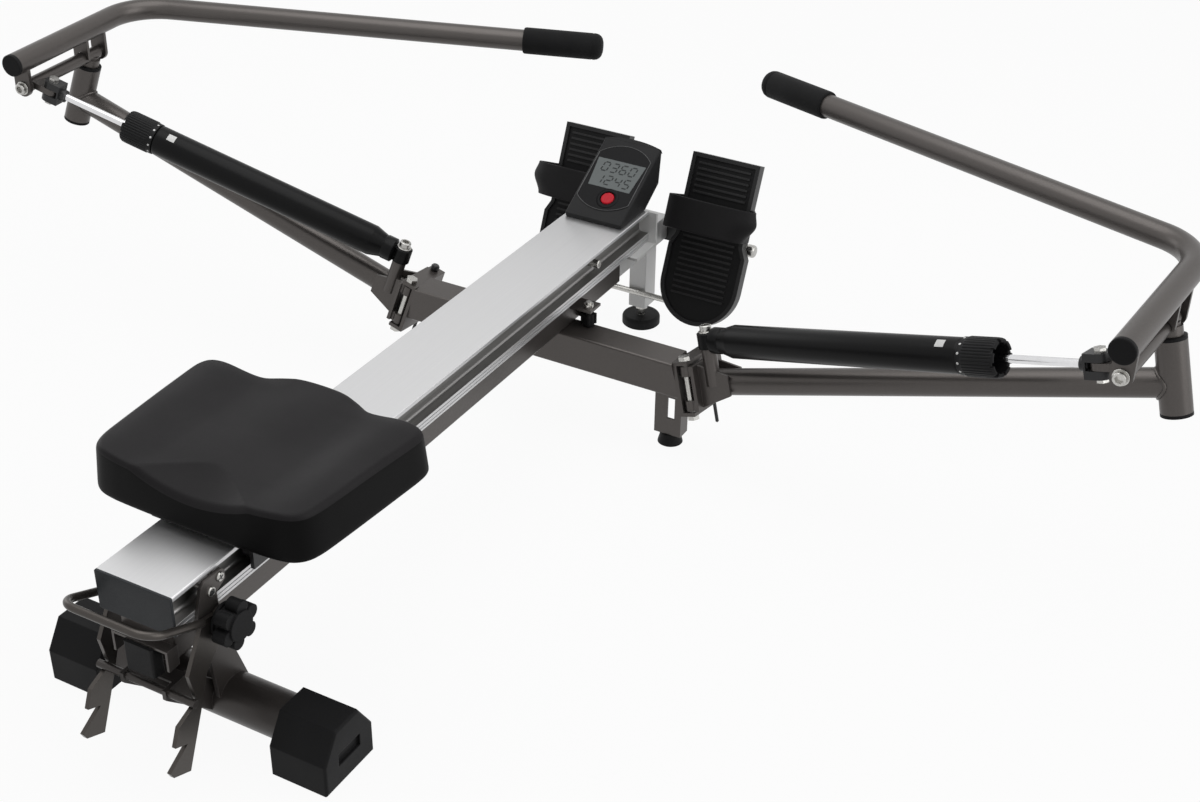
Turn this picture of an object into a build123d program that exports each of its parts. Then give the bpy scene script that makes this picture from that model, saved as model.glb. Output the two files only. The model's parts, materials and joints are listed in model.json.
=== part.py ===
from build123d import *
import math
import os

# Hydraulic rowing machine: a sliding seat on an aluminium rail, two folding outriggers,
# each with a bent oar and a hydraulic damper. Millimetres, X to the user's right,
# Y forward to the monitor, Z up. While it is built, Y = 0 is the rail's rear end.

# Fits
RUN = 0.05            # radial clearance of a turning fit
AIR = 0.3             # gap between pieces that rest on each other without being fixed
WALL = 3.0            # steel tube wall

# Rail, an aluminium extrusion with a roller groove in each side
RAIL_W = 100.0
RAIL_TOP = 236.0
RAIL_H = 49.0
RAIL_LEN = 1027.0
RAIL_SKIN = 5.0
RAIL_WEB = 4.0
GROOVE_H = 30.0
GROOVE_DEPTH = 15.0
GROOVE_ROUND = 4.0
END_CAP_T = 3.0
RAIL_BOT = RAIL_TOP - RAIL_H
GROOVE_TOP = RAIL_TOP - RAIL_SKIN
GROOVE_BOT = GROOVE_TOP - GROOVE_H
GROOVE_MID = (GROOVE_TOP + GROOVE_BOT) / 2
SIDE = RAIL_W / 2

# Steel beam under the rail
BEAM_W = 70.0
BEAM_H = 44.0
BEAM_REAR = 14.0
BEAM_FRONT = RAIL_LEN - 57.0
BEAM_BOT = RAIL_BOT - BEAM_H

# Cross beam and its feet
CROSS_REAR = RAIL_LEN - 227.0
CROSS_D = 46.0
CROSS_H = 50.0
CROSS_FRONT = CROSS_REAR + CROSS_D
CROSS_BOT = BEAM_BOT - CROSS_H
LEG_X = 191.0
LEG_W = 40.0
LEG_D = 22.0
PAD_R = 17.5
PAD_H = 16.0
STUD_X = BEAM_W / 2 + 23.0
STUD_Y = CROSS_REAR + 38.0
STUD_R = 4.0
TAB_Z = RAIL_BOT - 19.0
WING_R = 11.0
WING_H = 18.0

# Arm frame: hinge bolt at its origin, first axis along the arm, third along the hinge
ARM_RISE = 17.0
ARM_LEAN = 8.5
HINGE = Vector(228.4, CROSS_REAR + 7.3, CROSS_BOT + 18.3)
ARM_LEN = 628.0
ARM_V = 26.0
ARM_R = 18.0
HINGE_R = 5.0
BRACKET_HALF = 38.0
BRACKET_T = 5.0
BRACKET_U = -14.0
PLATE_U = 10.0
BRACKET_V = (-9.0, 72.0)
PIN_V = 62.0
PIN_U = -1.0
KNUCKLE_R = 8.0
KNUCKLE_H = 14.0
HOUSING_R = 19.0
HOUSING_W = (-35.0, 53.0)
RING_H = 4.0
SHAFT_R = 12.0
PIN_R = 4.0
PIN_TAIL = 32.0

# Oar: a lift axis level with the floor and a bent tube above it
EAR_ARM = (ARM_LEN - 13.6, ARM_V - 155.9, 56.7)
LIFT_W = 72.9
LIFT_R = 5.0
BAR_R = 9.5
BAR_END = 147.0
EAR_AT = 150.0
EAR_T = 6.0
EAR_HALF = 13.0
SADDLE_AT = 17.0
SADDLE_T = 5.0
OAR_R = 16.0
OAR_WALL = 2.0
OAR_RISE = 38.6
OAR_TAIL = 168.0
OAR_TO_BEND = Vector(7.897, 113.110, 40.817)
OAR_TO_GRIP = Vector(-673.303, 380.010, 21.017)
BEND_R = 78.0
GRIP_LEN = 121.0
GRIP_R = OAR_R + 3.8
PLUG_H = 6.0

# Damper, in its own frame: base eye at the origin, first axis to the rod end
EYE_ARM = (32.6, 11.6, 62.5)
CRANK_ARM = (ARM_LEN - 42.2, ARM_V - 127.5, 62.5)
EYE_R = 13.0
EYE_H = 22.0
BASE_BOLT_R = 5.0
BARREL_R = 22.0
BARREL_BORE = 18.0
BARREL_START = 52.0
NECK_TAPER = 24.0
BARREL_END = 392.0
NOSE_R = 20.0
NOSE_END = 438.0
NOSE_WALL = 8.0
MOUTH_R = 13.5
DIAL_R = 24.0
DIAL_LIP = 4.0
ROD_R = 5.0
ROD_IN = 291.0
PISTON_R = 9.5
FORK_BACK = 23.0
FORK_HALF = 12.0
FORK_H = 15.0
TAB_T = 9.0
ROD_BOLT_R = 4.0

# Front leg and pedals
LEG_TUBE_W = 28.0
LEG_TUBE_Y = (RAIL_LEN + 67.5, RAIL_LEN + 101.5)
LEG_TUBE_BOT = 34.0
FRONT_ARM_W = BEAM_W - 10.0
FRONT_PLATE_W = 124.0
FRONT_PLATE_T = 4.0
FOOT_R = 29.0
FOOT_H = 15.0
FOOT_STUD_R = 6.0
PEDAL_X = (53.0, 161.0)
PEDAL_HEEL_W = 124.0
PEDAL_TOP = (RAIL_LEN + 133.0, 279.0)
PEDAL_HEEL = (RAIL_LEN + 33.0, 49.0)
AXLE_Y = LEG_TUBE_Y[1] + 11.0
AXLE_Z = 152.0
AXLE_R = 6.0
CARRIER = 22.0
CARRIER_X = 50.0
LUG_R = 11.0
LUG_W = 15.0
HEEL_BAR_R = 4.5
HEEL_BAR_Z = 62.0
HEEL_BAR_X = 150.0
RIM_H = 3.0
RIM_W = 6.0
RIB_H = 2.0
RIB_W = 3.0
RIB_PITCH = 8.5
STRAP_AT = 65.0
STRAP_W = 54.0
STRAP_T = 3.5
STRAP_RISE = 50.0
STRAP_BULGE = 8.0

# Monitor
FACE_TILT = 31.0
FACE_FOOT = (RAIL_LEN - 77.0, RAIL_TOP + 7.0)
FACE_LEN = 138.0
SHELL_HALF = 45.0
SHELL_NOSE = RAIL_LEN + 45.0
SHELL_ROUND = 3.0
BEZEL_T = 2.0
BEZEL_HALF = 41.0
BEZEL_S = (17.0, 129.0)
SCREEN_S = (54.0, 102.0)
SCREEN_HALF = (33.0, 38.0)
SCREEN_T = 1.2
BUTTON_AT = (6.0, 38.0)
BUTTON_R = 10.0
BUTTON_H = 6.0
BUTTON_STEM = 4.0
BUTTON_TRAVEL = 1.5

# Seat and its carriage
SEAT_BOT = RAIL_TOP + 12.0
SEAT_CREST = SEAT_BOT + 60.0
SEAT_HOLLOW = SEAT_BOT + 43.0
SEAT_RIDGE = SEAT_BOT + 51.0
SEAT_REAR = 86.0
SEAT_LEN = 235.0
SEAT_HALF = 156.0
SEAT_DRAFT = 5.0
# For each station along the seat: share of the length, then how far the half width, the crests,
# the hollows and the ridge lie inside their largest values
SEAT_STATIONS = (
    (0.00, 46, 17, 7, 17),
    (0.04, 26, 8, 4, 14),
    (0.10, 13, 3, 1, 11),
    (0.23, 5, 0, 0, 6),
    (0.49, 2, 0, 0, 0),
    (0.78, 0, 1, 1, -2),
    (0.91, 3, 4, 4, -1),
    (0.97, 12, 9, 8, 3),
    (1.00, 27, 18, 15, 11),
)
CARRIAGE_Y = (118.0, 282.0)
CARRIAGE_T = 5.0
CARRIAGE_X = SIDE + 8.0
ROLLER_PLAY = 0.5
ROLLER_R = GROOVE_H / 2 - ROLLER_PLAY
ROLLER_W = 11.0
ROLLER_IN = SIDE - GROOVE_DEPTH + 2.5
ROLLER_Y = (137.0, 263.0)
ROLLER_PIN_R = 4.0
STOP_Y = RAIL_LEN - 147.0
STOP_R = 6.0

# Rear foot, its pivot and the notched rack
PIVOT_Y = 58.0
PIVOT_Z = RAIL_BOT - 10.0
PIVOT_R = 6.0
BRACKET_X = (SIDE, SIDE + 4.0)
SCREW_YZ = ((69.0, GROOVE_MID + 5.0), (54.0, GROOVE_MID - 4.0))
SCREW_R = 3.0
FORK_X = (BEAM_W / 2 + 1.0, BEAM_W / 2 + 6.0)
RACK_X = (SIDE + 6.5, SIDE + 11.5)
DISC_R = 20.0
DISC_T = 3.0
STAR_R = 28.0
STAR_T = 22.0
FOOT_TUBE_R = 27.0
FOOT_TUBE_Y = 84.7
FOOT_TUBE_Z = 44.0
CAP_X = (119.7, 191.5)
CAP_REAR = 42.5
CAP_FRONT = 127.0
CAP_H = 74.0
CAP_SHOULDER = 40.0
CAP_CHAMFER = 22.0
CAP_SOCKET = 30.0
LATCH_Y = 0.0
LATCH_Z = 106.2
LATCH_R = 4.5
LATCH_RIB_X = (26.0, 31.0)
BAIL_R = 4.5
BAIL_REAR = -44.0
BAIL_Z = 221.0
BAIL_CORNER = 22.0

parts = {}


def block(x, y, z):
    """Box between pairs of coordinates."""
    size = (x[1] - x[0], y[1] - y[0], z[1] - z[0])
    centre = ((x[0] + x[1]) / 2, (y[0] + y[1]) / 2, (z[0] + z[1]) / 2)
    return Pos(*centre) * Box(*size)


def rod(start, end, radius):
    """Round bar between two points."""
    start, end = Vector(start), Vector(end)
    along = end - start
    base = Plane(origin=start, z_dir=along)
    return base * Cylinder(radius, along.length, align=(Align.CENTER, Align.CENTER, Align.MIN))


def plate_x(outline, x):
    """Flat plate standing across X, from an outline in Y and Z."""
    wire = Polyline(*[(x[0], y, z) for y, z in outline], close=True)
    return extrude(make_face(wire), amount=x[1] - x[0], dir=(1, 0, 0))


def plate_y(outline, y):
    """Flat plate standing across Y, from an outline in X and Z."""
    wire = Polyline(*[(x, y[0], z) for x, z in outline], close=True)
    return extrude(make_face(wire), amount=y[1] - y[0], dir=(0, 1, 0))


def both_sides(shape):
    """A shape and its mirror image across the centre plane, as separate solids."""
    return [shape, mirror(shape, about=Plane.YZ)]


def fuse(*shapes):
    """One solid from several that touch or overlap."""
    whole = shapes[0]
    for shape in shapes[1:]:
        whole = whole + shape
    return whole


def keep(name, *shapes):
    """File one node, made of one or more separate solids."""
    solids = [solid for shape in shapes for solid in shape.solids()]
    parts[name] = solids


def hex_head(base, radius, height):
    """Hexagon head or nut standing on a plane."""
    return base * extrude(RegularPolygon(radius, 6), amount=height)


# The arm's frame, on the right-hand side
rise, lean = math.radians(ARM_RISE), math.radians(ARM_LEAN)
ARM_E1 = Vector(math.cos(rise), 0, math.sin(rise))
ARM_E3 = Vector(-math.sin(rise) * math.cos(lean), math.sin(lean), math.cos(rise) * math.cos(lean))
ARM = Plane(origin=HINGE, x_dir=ARM_E1, z_dir=ARM_E3)


def arm_point(u, v, w):
    """World point from arm coordinates."""
    return ARM.from_local_coords(Vector(u, v, w))


def arm_block(u, v, w):
    """Box in arm coordinates."""
    return ARM.location * block(u, v, w)


def arm_rod(start, end, radius):
    """Round bar in arm coordinates."""
    return rod(arm_point(*start), arm_point(*end), radius)


# The lift axis and the damper's axis follow from points in the arm's frame
LIFT_HEAD = arm_point(ARM_LEN, ARM_V, LIFT_W)
EAR = arm_point(*EAR_ARM)
LEVER = (EAR - LIFT_HEAD).normalized()
LIFT_UP = (Vector(0, 0, 1) - LEVER * LEVER.Z).normalized()
LIFT = Plane(origin=LIFT_HEAD, x_dir=LEVER, z_dir=LIFT_UP)
EYE = arm_point(*EYE_ARM)
CRANK = arm_point(*CRANK_ARM)
DAMPER = Plane(origin=EYE, x_dir=(CRANK - EYE).normalized(), z_dir=ARM_E3)
DAMPER_LEN = (CRANK - EYE).length


def damper_rod_shape(start, end, radius):
    """Round bar along the damper's axis."""
    return rod(DAMPER.from_local_coords((start, 0, 0)), DAMPER.from_local_coords((end, 0, 0)), radius)


def make_rail():
    """Extruded rail with a roller groove and two fine lines in each side."""
    outer = Pos(0, 0, RAIL_TOP - RAIL_H / 2) * Box(RAIL_W, RAIL_LEN - END_CAP_T, RAIL_H)
    outer = fillet(outer.edges().filter_by(Axis.Y), 1.5)
    inner_half = SIDE - GROOVE_DEPTH - RAIL_WEB
    hollow = block((-inner_half, inner_half), (-RAIL_LEN, RAIL_LEN), (RAIL_BOT + RAIL_SKIN, GROOVE_TOP))
    groove = block((SIDE - GROOVE_DEPTH, SIDE + 1), (-RAIL_LEN, RAIL_LEN), (GROOVE_BOT, GROOVE_TOP))
    inner_edges = groove.edges().filter_by(Axis.Y).sort_by(Axis.X)[:2]
    groove = fillet(inner_edges, GROOVE_ROUND)
    line_cut = 1.2
    lines = [block((SIDE - line_cut, SIDE + 1), (-RAIL_LEN, RAIL_LEN), (z, z + line_cut))
             for z in (RAIL_BOT + 4, RAIL_BOT + 9)]
    shape = outer - hollow
    for cut in [groove] + lines:
        for copy in both_sides(cut):
            shape = shape - copy
    return Pos(0, (RAIL_LEN + END_CAP_T) / 2, 0) * shape


def make_end_cap():
    """Flat plastic cover on the rail's rear end."""
    cap = block((-SIDE, SIDE), (0, END_CAP_T), (RAIL_BOT, RAIL_TOP))
    cap = fillet(cap.edges().filter_by(Axis.Y), 2)
    return fillet(cap.faces().sort_by(Axis.Y)[0].edges(), 0.8)


def make_beam():
    """Box beam under the rail, with the bumper strap and the clamp tab welded on."""
    half = BEAM_W / 2
    tube = block((-half, half), (BEAM_REAR, BEAM_FRONT), (BEAM_BOT, RAIL_BOT))
    tube = fillet(tube.edges().filter_by(Axis.Y), 2.5)
    hollow = block((-half + WALL, half - WALL), (BEAM_REAR - 1, BEAM_FRONT + 1),
                   (BEAM_BOT + WALL, RAIL_BOT - WALL))
    tube = tube - hollow
    strap_top = 164.0
    strap_low = 138.0
    strap_y = (-2.0, BEAM_REAR)
    strap = block((-half - 2, half + 2), strap_y, (strap_top - WALL, strap_top))
    for leg in both_sides(block((half - 1, half + 2), strap_y, (strap_low, strap_top))):
        strap = strap + leg
    closing = block((-half + WALL / 2, half - WALL / 2), (BEAM_REAR - WALL, BEAM_REAR + WALL),
                    (strap_top - WALL, RAIL_BOT - WALL / 2))
    tab = block((half - 1, STUD_X + 9), (STUD_Y - 11, STUD_Y + 17), (TAB_Z, TAB_Z + 4))
    web_low = BEAM_BOT + 2
    web = plate_y([(half - 1, TAB_Z), (half - 1, web_low), (half + 6, web_low), (STUD_X + 5, TAB_Z)],
                  (STUD_Y + 13, STUD_Y + 17))
    shape = fuse(tube, strap, closing, tab, web)
    shape = shape - rod((-RAIL_W, PIVOT_Y, PIVOT_Z), (RAIL_W, PIVOT_Y, PIVOT_Z), PIVOT_R + RUN)
    return shape - rod((STUD_X, STUD_Y, TAB_Z - 1), (STUD_X, STUD_Y, TAB_Z + 5), STUD_R + RUN)


def make_crossbeam():
    """Square tube across the machine with a channel bracket on each sloping end."""
    reach = HINGE.X + BRACKET_HALF
    z = (CROSS_BOT, CROSS_BOT + CROSS_H)
    y = (CROSS_REAR, CROSS_FRONT)
    tube = block((-reach, reach), y, z)
    tube = fillet(tube.edges().filter_by(Axis.X), 3)
    hollow = block((-reach - 1, reach + 1), (y[0] + WALL, y[1] - WALL), (z[0] + WALL, z[1] - WALL))
    tube = tube - hollow
    beyond = arm_block((BRACKET_U, BRACKET_U + 200), (-200, 200), (-200, 200))
    v, half = BRACKET_V, BRACKET_HALF
    inner = BRACKET_U + BRACKET_T
    back = arm_block((BRACKET_U, inner), v, (-half, half))
    back = back - arm_rod((BRACKET_U - 1, 16, 0), (inner + 1, 16, 0), 6)
    bracket = back
    for w in ((half - BRACKET_T, half), (-half, -half + BRACKET_T)):
        bracket = bracket + arm_block((BRACKET_U, PLATE_U - 2), v, w)
    bracket = bracket - arm_rod((0, 0, -half - 1), (0, 0, half + 1), HINGE_R + RUN)
    bracket = bracket - arm_rod((PIN_U, PIN_V, -half - 1), (PIN_U, PIN_V, half + 1), PIN_R + RUN)
    shape = tube
    for cut in both_sides(beyond):
        shape = shape - cut
    for end in both_sides(bracket):
        shape = shape + end
    return shape - rod((STUD_X, STUD_Y, CROSS_BOT + CROSS_H - WALL - 1),
                       (STUD_X, STUD_Y, CROSS_BOT + CROSS_H + 1), STUD_R + RUN)


def make_cross_leg():
    """Folded channel leg under the cross beam, open to the front."""
    x = (LEG_X - LEG_W / 2, LEG_X + LEG_W / 2)
    y = (CROSS_FRONT - LEG_D, CROSS_FRONT)
    z = (PAD_H, CROSS_BOT)
    leg = block(x, y, z)
    leg = leg - block((x[0] + WALL, x[1] - WALL), (y[0] + WALL, y[1] + 1), (z[0] + WALL, z[1] + 1))
    window = block((LEG_X - 1, LEG_X + 10), (y[0] - 1, y[0] + WALL + 1), (z[0] + 26, z[1] - 18))
    middle = y[0] + LEG_D / 2
    hole = rod((LEG_X, middle, PAD_H - 1), (LEG_X, middle, PAD_H + WALL + 1), PIN_R + RUN)
    return leg - window - hole


def make_cross_pad():
    """Rubber foot screwed up into the channel leg."""
    centre = (LEG_X, CROSS_FRONT - LEG_D / 2)
    pad = Pos(*centre, PAD_H / 2) * Cone(PAD_R, PAD_R - 4, PAD_H)
    pad = fillet(pad.edges().sort_by(Axis.Z)[-1], 2)
    return pad + rod((*centre, PAD_H - 1), (*centre, PAD_H + 9), PIN_R)


def make_lock_pin():
    """Pin through the bracket's flanges and the arm's tongue, with a round head."""
    pin = arm_rod((PIN_U, PIN_V, -BRACKET_HALF - PIN_TAIL), (PIN_U, PIN_V, BRACKET_HALF + 8), PIN_R)
    head = arm_rod((PIN_U, PIN_V, BRACKET_HALF + AIR), (PIN_U, PIN_V, BRACKET_HALF + 9), PIN_R + 3)
    return pin + head


def make_hinge_bolt():
    """Long bolt that the arm folds on."""
    half = BRACKET_HALF
    bolt = arm_rod((0, 0, -half - 6), (0, 0, half + 6), HINGE_R)
    top = Plane(origin=arm_point(0, 0, half), x_dir=ARM_E1, z_dir=ARM_E3)
    low = Plane(origin=arm_point(0, 0, -half - 6), x_dir=ARM_E1, z_dir=ARM_E3)
    return fuse(bolt, hex_head(top, 8.5, 6), hex_head(low, 8.5, 6))


def make_wing_knob():
    """Plastic knob on the clamp stud, with two wings."""
    low = CROSS_BOT + CROSS_H + 1
    knob = Pos(STUD_X, STUD_Y, low + WING_H / 2) * Cylinder(WING_R - 3, WING_H)
    for angle in (0, 90):
        place = Pos(STUD_X, STUD_Y, low + WING_H * 0.6) * Rot(0, 0, 25 + angle)
        wing = place * Box(2 * WING_R, 5, WING_H * 0.8)
        knob = knob + fillet(wing.edges().filter_by(Axis.Z), 2)
    return knob - rod((STUD_X, STUD_Y, low - 1), (STUD_X, STUD_Y, low + WING_H + 1), STUD_R + RUN)


def make_frame_bolts():
    """Plated fasteners of the frame: clamp stud, bracket screws, seat stops and pivot bolt."""
    beam_top = CROSS_BOT + CROSS_H
    stud = rod((STUD_X, STUD_Y, beam_top - WALL), (STUD_X, STUD_Y, TAB_Z + 12), STUD_R)
    bolts = [stud + Pos(STUD_X, STUD_Y, TAB_Z + 4 + 2.5) * Cylinder(7, 5)]
    for y, z in SCREW_YZ:
        shank = rod((SIDE - GROOVE_DEPTH, y, z), (BRACKET_X[1], y, z), SCREW_R)
        head = rod((BRACKET_X[1], y, z), (BRACKET_X[1] + 2.2, y, z), 5.5)
        bolts += both_sides(shank + fillet(head.edges().sort_by(Axis.X)[-1], 1.5))
    stop_z = (GROOVE_TOP + GROOVE_BOT) / 2
    stop = rod((SIDE - GROOVE_DEPTH, STOP_Y, stop_z), (SIDE + 1, STOP_Y, stop_z), STOP_R)
    bolts += both_sides(fillet(stop.edges().sort_by(Axis.X)[-1], 1.5))
    reach = RACK_X[1] + AIR + DISC_T
    pivot = rod((-reach - 7, PIVOT_Y, PIVOT_Z), (reach + STAR_T - 6, PIVOT_Y, PIVOT_Z), PIVOT_R)
    nut_base = Plane(origin=(-reach - 7, PIVOT_Y, PIVOT_Z), z_dir=(1, 0, 0))
    bolts.append(pivot + hex_head(nut_base, 10, 7))
    return bolts


def make_pivot_disc():
    """Plastic disc on the pivot bolt, outside the rack."""
    start = RACK_X[1] + AIR
    disc = rod((start, PIVOT_Y, PIVOT_Z), (start + DISC_T, PIVOT_Y, PIVOT_Z), DISC_R)
    disc = fillet(disc.edges().sort_by(Axis.X)[-1], 1)
    return disc - rod((start - 1, PIVOT_Y, PIVOT_Z), (start + DISC_T + 1, PIVOT_Y, PIVOT_Z), PIVOT_R + RUN)


def make_front_leg():
    """Silver front leg: an arm plugged into the beam, a plate bent up over the rail's end, a post."""
    arm_half = FRONT_ARM_W / 2
    arm_z = (BEAM_BOT + WALL, RAIL_BOT - FRONT_PLATE_T)
    post_half = LEG_TUBE_W / 2
    arm = block((-arm_half, arm_half), (RAIL_LEN - 127.0, LEG_TUBE_Y[1]), arm_z)
    arm = arm - block((-arm_half + WALL, arm_half - WALL), (RAIL_LEN - 128.0, LEG_TUBE_Y[0] - 6),
                      (arm_z[0] + WALL, arm_z[1] - WALL))
    plate_half = FRONT_PLATE_W / 2
    floor = block((-plate_half, plate_half), (BEAM_FRONT, RAIL_LEN + FRONT_PLATE_T),
                  (RAIL_BOT - FRONT_PLATE_T, RAIL_BOT))
    upright = block((-plate_half, plate_half), (RAIL_LEN, RAIL_LEN + FRONT_PLATE_T),
                    (RAIL_BOT - FRONT_PLATE_T, RAIL_TOP - 2))
    post = block((-post_half, post_half), LEG_TUBE_Y, (LEG_TUBE_BOT, arm_z[0] + WALL))
    post = fillet(post.edges().filter_by(Axis.Z), 2)
    bore = block((-post_half + WALL, post_half - WALL), (LEG_TUBE_Y[0] + WALL, LEG_TUBE_Y[1] - WALL),
                 (LEG_TUBE_BOT + 5, arm_z[0]))
    middle = sum(LEG_TUBE_Y) / 2
    shape = fuse(arm, floor, upright, post) - bore
    shape = shape - rod((0, middle, LEG_TUBE_BOT - 1), (0, middle, LEG_TUBE_BOT + 6), FOOT_STUD_R + RUN)
    return shape


def make_front_foot():
    """Round levelling foot on a threaded stud."""
    middle = sum(LEG_TUBE_Y) / 2
    disc = Pos(0, middle, FOOT_H / 2) * Cylinder(FOOT_R, FOOT_H)
    disc = fillet(disc.edges().sort_by(Axis.Z)[-1], 5)
    disc = chamfer(disc.edges().sort_by(Axis.Z)[0], 1)
    stud = rod((0, middle, FOOT_H - 1), (0, middle, LEG_TUBE_BOT + 24), FOOT_STUD_R)
    nut = hex_head(Plane(origin=(0, middle, LEG_TUBE_BOT - 8)), 10, 8 - AIR)
    return fuse(disc, stud, nut)


def make_carrier():
    """Block bolted to the leg that holds the pedal axle."""
    y = (LEG_TUBE_Y[1], AXLE_Y + CARRIER / 2)
    z = (AXLE_Z - CARRIER / 2, AXLE_Z + CARRIER / 2)
    shape = block((-CARRIER_X, CARRIER_X), y, z)
    shape = fillet(shape.faces().sort_by(Axis.Y)[-1].edges().filter_by(Axis.X), 5)
    return shape - rod((-CARRIER_X - 1, AXLE_Y, AXLE_Z), (CARRIER_X + 1, AXLE_Y, AXLE_Z), AXLE_R + RUN)


def make_axle():
    """Pedal axle with a domed nut on each end."""
    end = PEDAL_X[1] + 4
    shape = rod((-end, AXLE_Y, AXLE_Z), (end, AXLE_Y, AXLE_Z), AXLE_R)
    nut = rod((end - 6, AXLE_Y, AXLE_Z), (end + 6, AXLE_Y, AXLE_Z), 9.5)
    nut = fillet(nut.edges().sort_by(Axis.X)[-1], 4)
    for copy in both_sides(nut):
        shape = shape + copy
    return shape


# Pedal frame: origin at the middle of the face's top edge, first axis along the toe edge,
# second up the plate, third out of the face towards the user
pedal_run = Vector(0, PEDAL_HEEL[0] - PEDAL_TOP[0], PEDAL_HEEL[1] - PEDAL_TOP[1])
PEDAL_LEN = pedal_run.length
PEDAL_DOWN = pedal_run.normalized()
PEDAL_OUT = Vector(0, PEDAL_DOWN.Z, -PEDAL_DOWN.Y)
PEDAL_MID = sum(PEDAL_X) / 2
PEDAL_W = PEDAL_X[1] - PEDAL_X[0]
PEDAL = Plane(origin=(PEDAL_MID, *PEDAL_TOP), x_dir=(1, 0, 0), z_dir=PEDAL_OUT)
HEEL_BAR_Y = LEG_TUBE_Y[0] - HEEL_BAR_R
heel_bar_depth = -PEDAL.to_local_coords(Vector(0, HEEL_BAR_Y, HEEL_BAR_Z)).Z
PEDAL_T = heel_bar_depth - HEEL_BAR_R - AIR
AXLE_LOCAL = PEDAL.to_local_coords(Vector(PEDAL_MID, AXLE_Y, AXLE_Z))


def pedal_outline(margin):
    """Plan of the footplate: square toe, round heel."""
    half = PEDAL_W / 2 - margin
    wide = PEDAL_HEEL_W / 2 - margin
    low = -PEDAL_LEN + margin
    heel = -PEDAL_LEN + PEDAL_HEEL_W / 2
    waist = -STRAP_AT - STRAP_W - 3
    flare = waist - 16
    lines = [Line((-half, -margin), (half, -margin)), Line((half, -margin), (half, waist)),
             Line((half, waist), (wide, flare)), Line((wide, flare), (wide, heel)),
             ThreePointArc((wide, heel), (0, low), (-wide, heel)),
             Line((-wide, heel), (-wide, flare)), Line((-wide, flare), (-half, waist)),
             Line((-half, waist), (-half, -margin))]
    return make_face(Curve() + lines)


def make_footplate():
    """Ribbed footplate with a raised rim, and two lugs behind it on the axle."""
    base = extrude(pedal_outline(0), amount=-PEDAL_T)
    tray = Pos(0, 0, -RIM_H) * extrude(pedal_outline(RIM_W), amount=RIM_H)
    plate = base - tray
    rib_half = PEDAL_W / 2 - RIM_W - 6
    upper = int((STRAP_AT - 2 * RIM_W) / RIB_PITCH)
    lower_from = STRAP_AT + STRAP_W
    lower = int((PEDAL_LEN - PEDAL_HEEL_W / 4 - lower_from - RIM_W) / RIB_PITCH)
    rows = [RIM_W + 8 + n * RIB_PITCH for n in range(upper)]
    rows += [lower_from + 4 + n * RIB_PITCH for n in range(lower)]
    for row in rows:
        past = max(0.0, row - (PEDAL_LEN - PEDAL_HEEL_W / 2))
        half = min(rib_half, math.sqrt((PEDAL_HEEL_W / 2) ** 2 - past ** 2) - RIM_W - 6)
        plate = plate + Pos(0, -row, -RIM_H + RIB_H / 2 - 0.5) * Box(2 * half, RIB_W, RIB_H + 1)
    for side in (-1, 1):
        at = side * (PEDAL_W / 2 - LUG_W / 2 - 7)
        lug = Pos(at, AXLE_LOCAL.Y, AXLE_LOCAL.Z) * Rot(0, 90, 0) * Cylinder(LUG_R, LUG_W)
        neck = Pos(at, AXLE_LOCAL.Y, (AXLE_LOCAL.Z - PEDAL_T + 2) / 2) * Box(
            LUG_W, 2 * LUG_R, abs(AXLE_LOCAL.Z) - PEDAL_T + 2)
        plate = plate + lug + neck
    bore = Pos(0, AXLE_LOCAL.Y, AXLE_LOCAL.Z) * Rot(0, 90, 0) * Cylinder(AXLE_R + RUN, PEDAL_W)
    return PEDAL.location * (plate - bore)


def make_strap():
    """Wide foot strap, arched over the plate and turned onto its edges."""
    foot = -PEDAL_T + 3

    def arch(inset):
        side = PEDAL_W / 2 + AIR + STRAP_T - inset
        wide = side + STRAP_BULGE
        top = STRAP_RISE - inset
        shoulder = STRAP_RISE * 0.45
        lines = [Line((side, foot), (side, 0)), Line((side, 0), (wide, shoulder)),
                 ThreePointArc((wide, shoulder), (0, top), (-wide, shoulder)),
                 Line((-wide, shoulder), (-side, 0)), Line((-side, 0), (-side, foot)),
                 Line((-side, foot), (side, foot))]
        return make_face(Curve() + lines)

    band = extrude(arch(0), amount=STRAP_W) - extrude(arch(STRAP_T), amount=STRAP_W)
    band = Rot(90, 0, 0) * band
    return PEDAL.location * Pos(0, -STRAP_AT, 0) * band


# Monitor face frame: origin at the foot of the face, second axis up the face, third out of it
tilt = math.radians(FACE_TILT)
FACE = Plane(origin=(0, *FACE_FOOT), x_dir=(1, 0, 0), z_dir=(0, -math.sin(tilt), math.cos(tilt)))


def bezel_outline():
    """Tall panel with arched ends."""
    low, high = BEZEL_S
    half = BEZEL_HALF
    mid_low, mid_high = low + 0.15 * (high - low), low + 0.84 * (high - low)
    right = Line((half, mid_low), (half, mid_high))
    top = ThreePointArc((half, mid_high), (0, high), (-half, mid_high))
    left = Line((-half, mid_high), (-half, mid_low))
    base = ThreePointArc((-half, mid_low), (0, low), (half, mid_low))
    return make_face(Curve() + [right, top, left, base])


def screen_outline():
    """Display window, wider at its top end."""
    low, high = SCREEN_S
    return make_face(Polyline((-SCREEN_HALF[0], low), (SCREEN_HALF[0], low), (SCREEN_HALF[1], high),
                              (-SCREEN_HALF[1], high), close=True))


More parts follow.
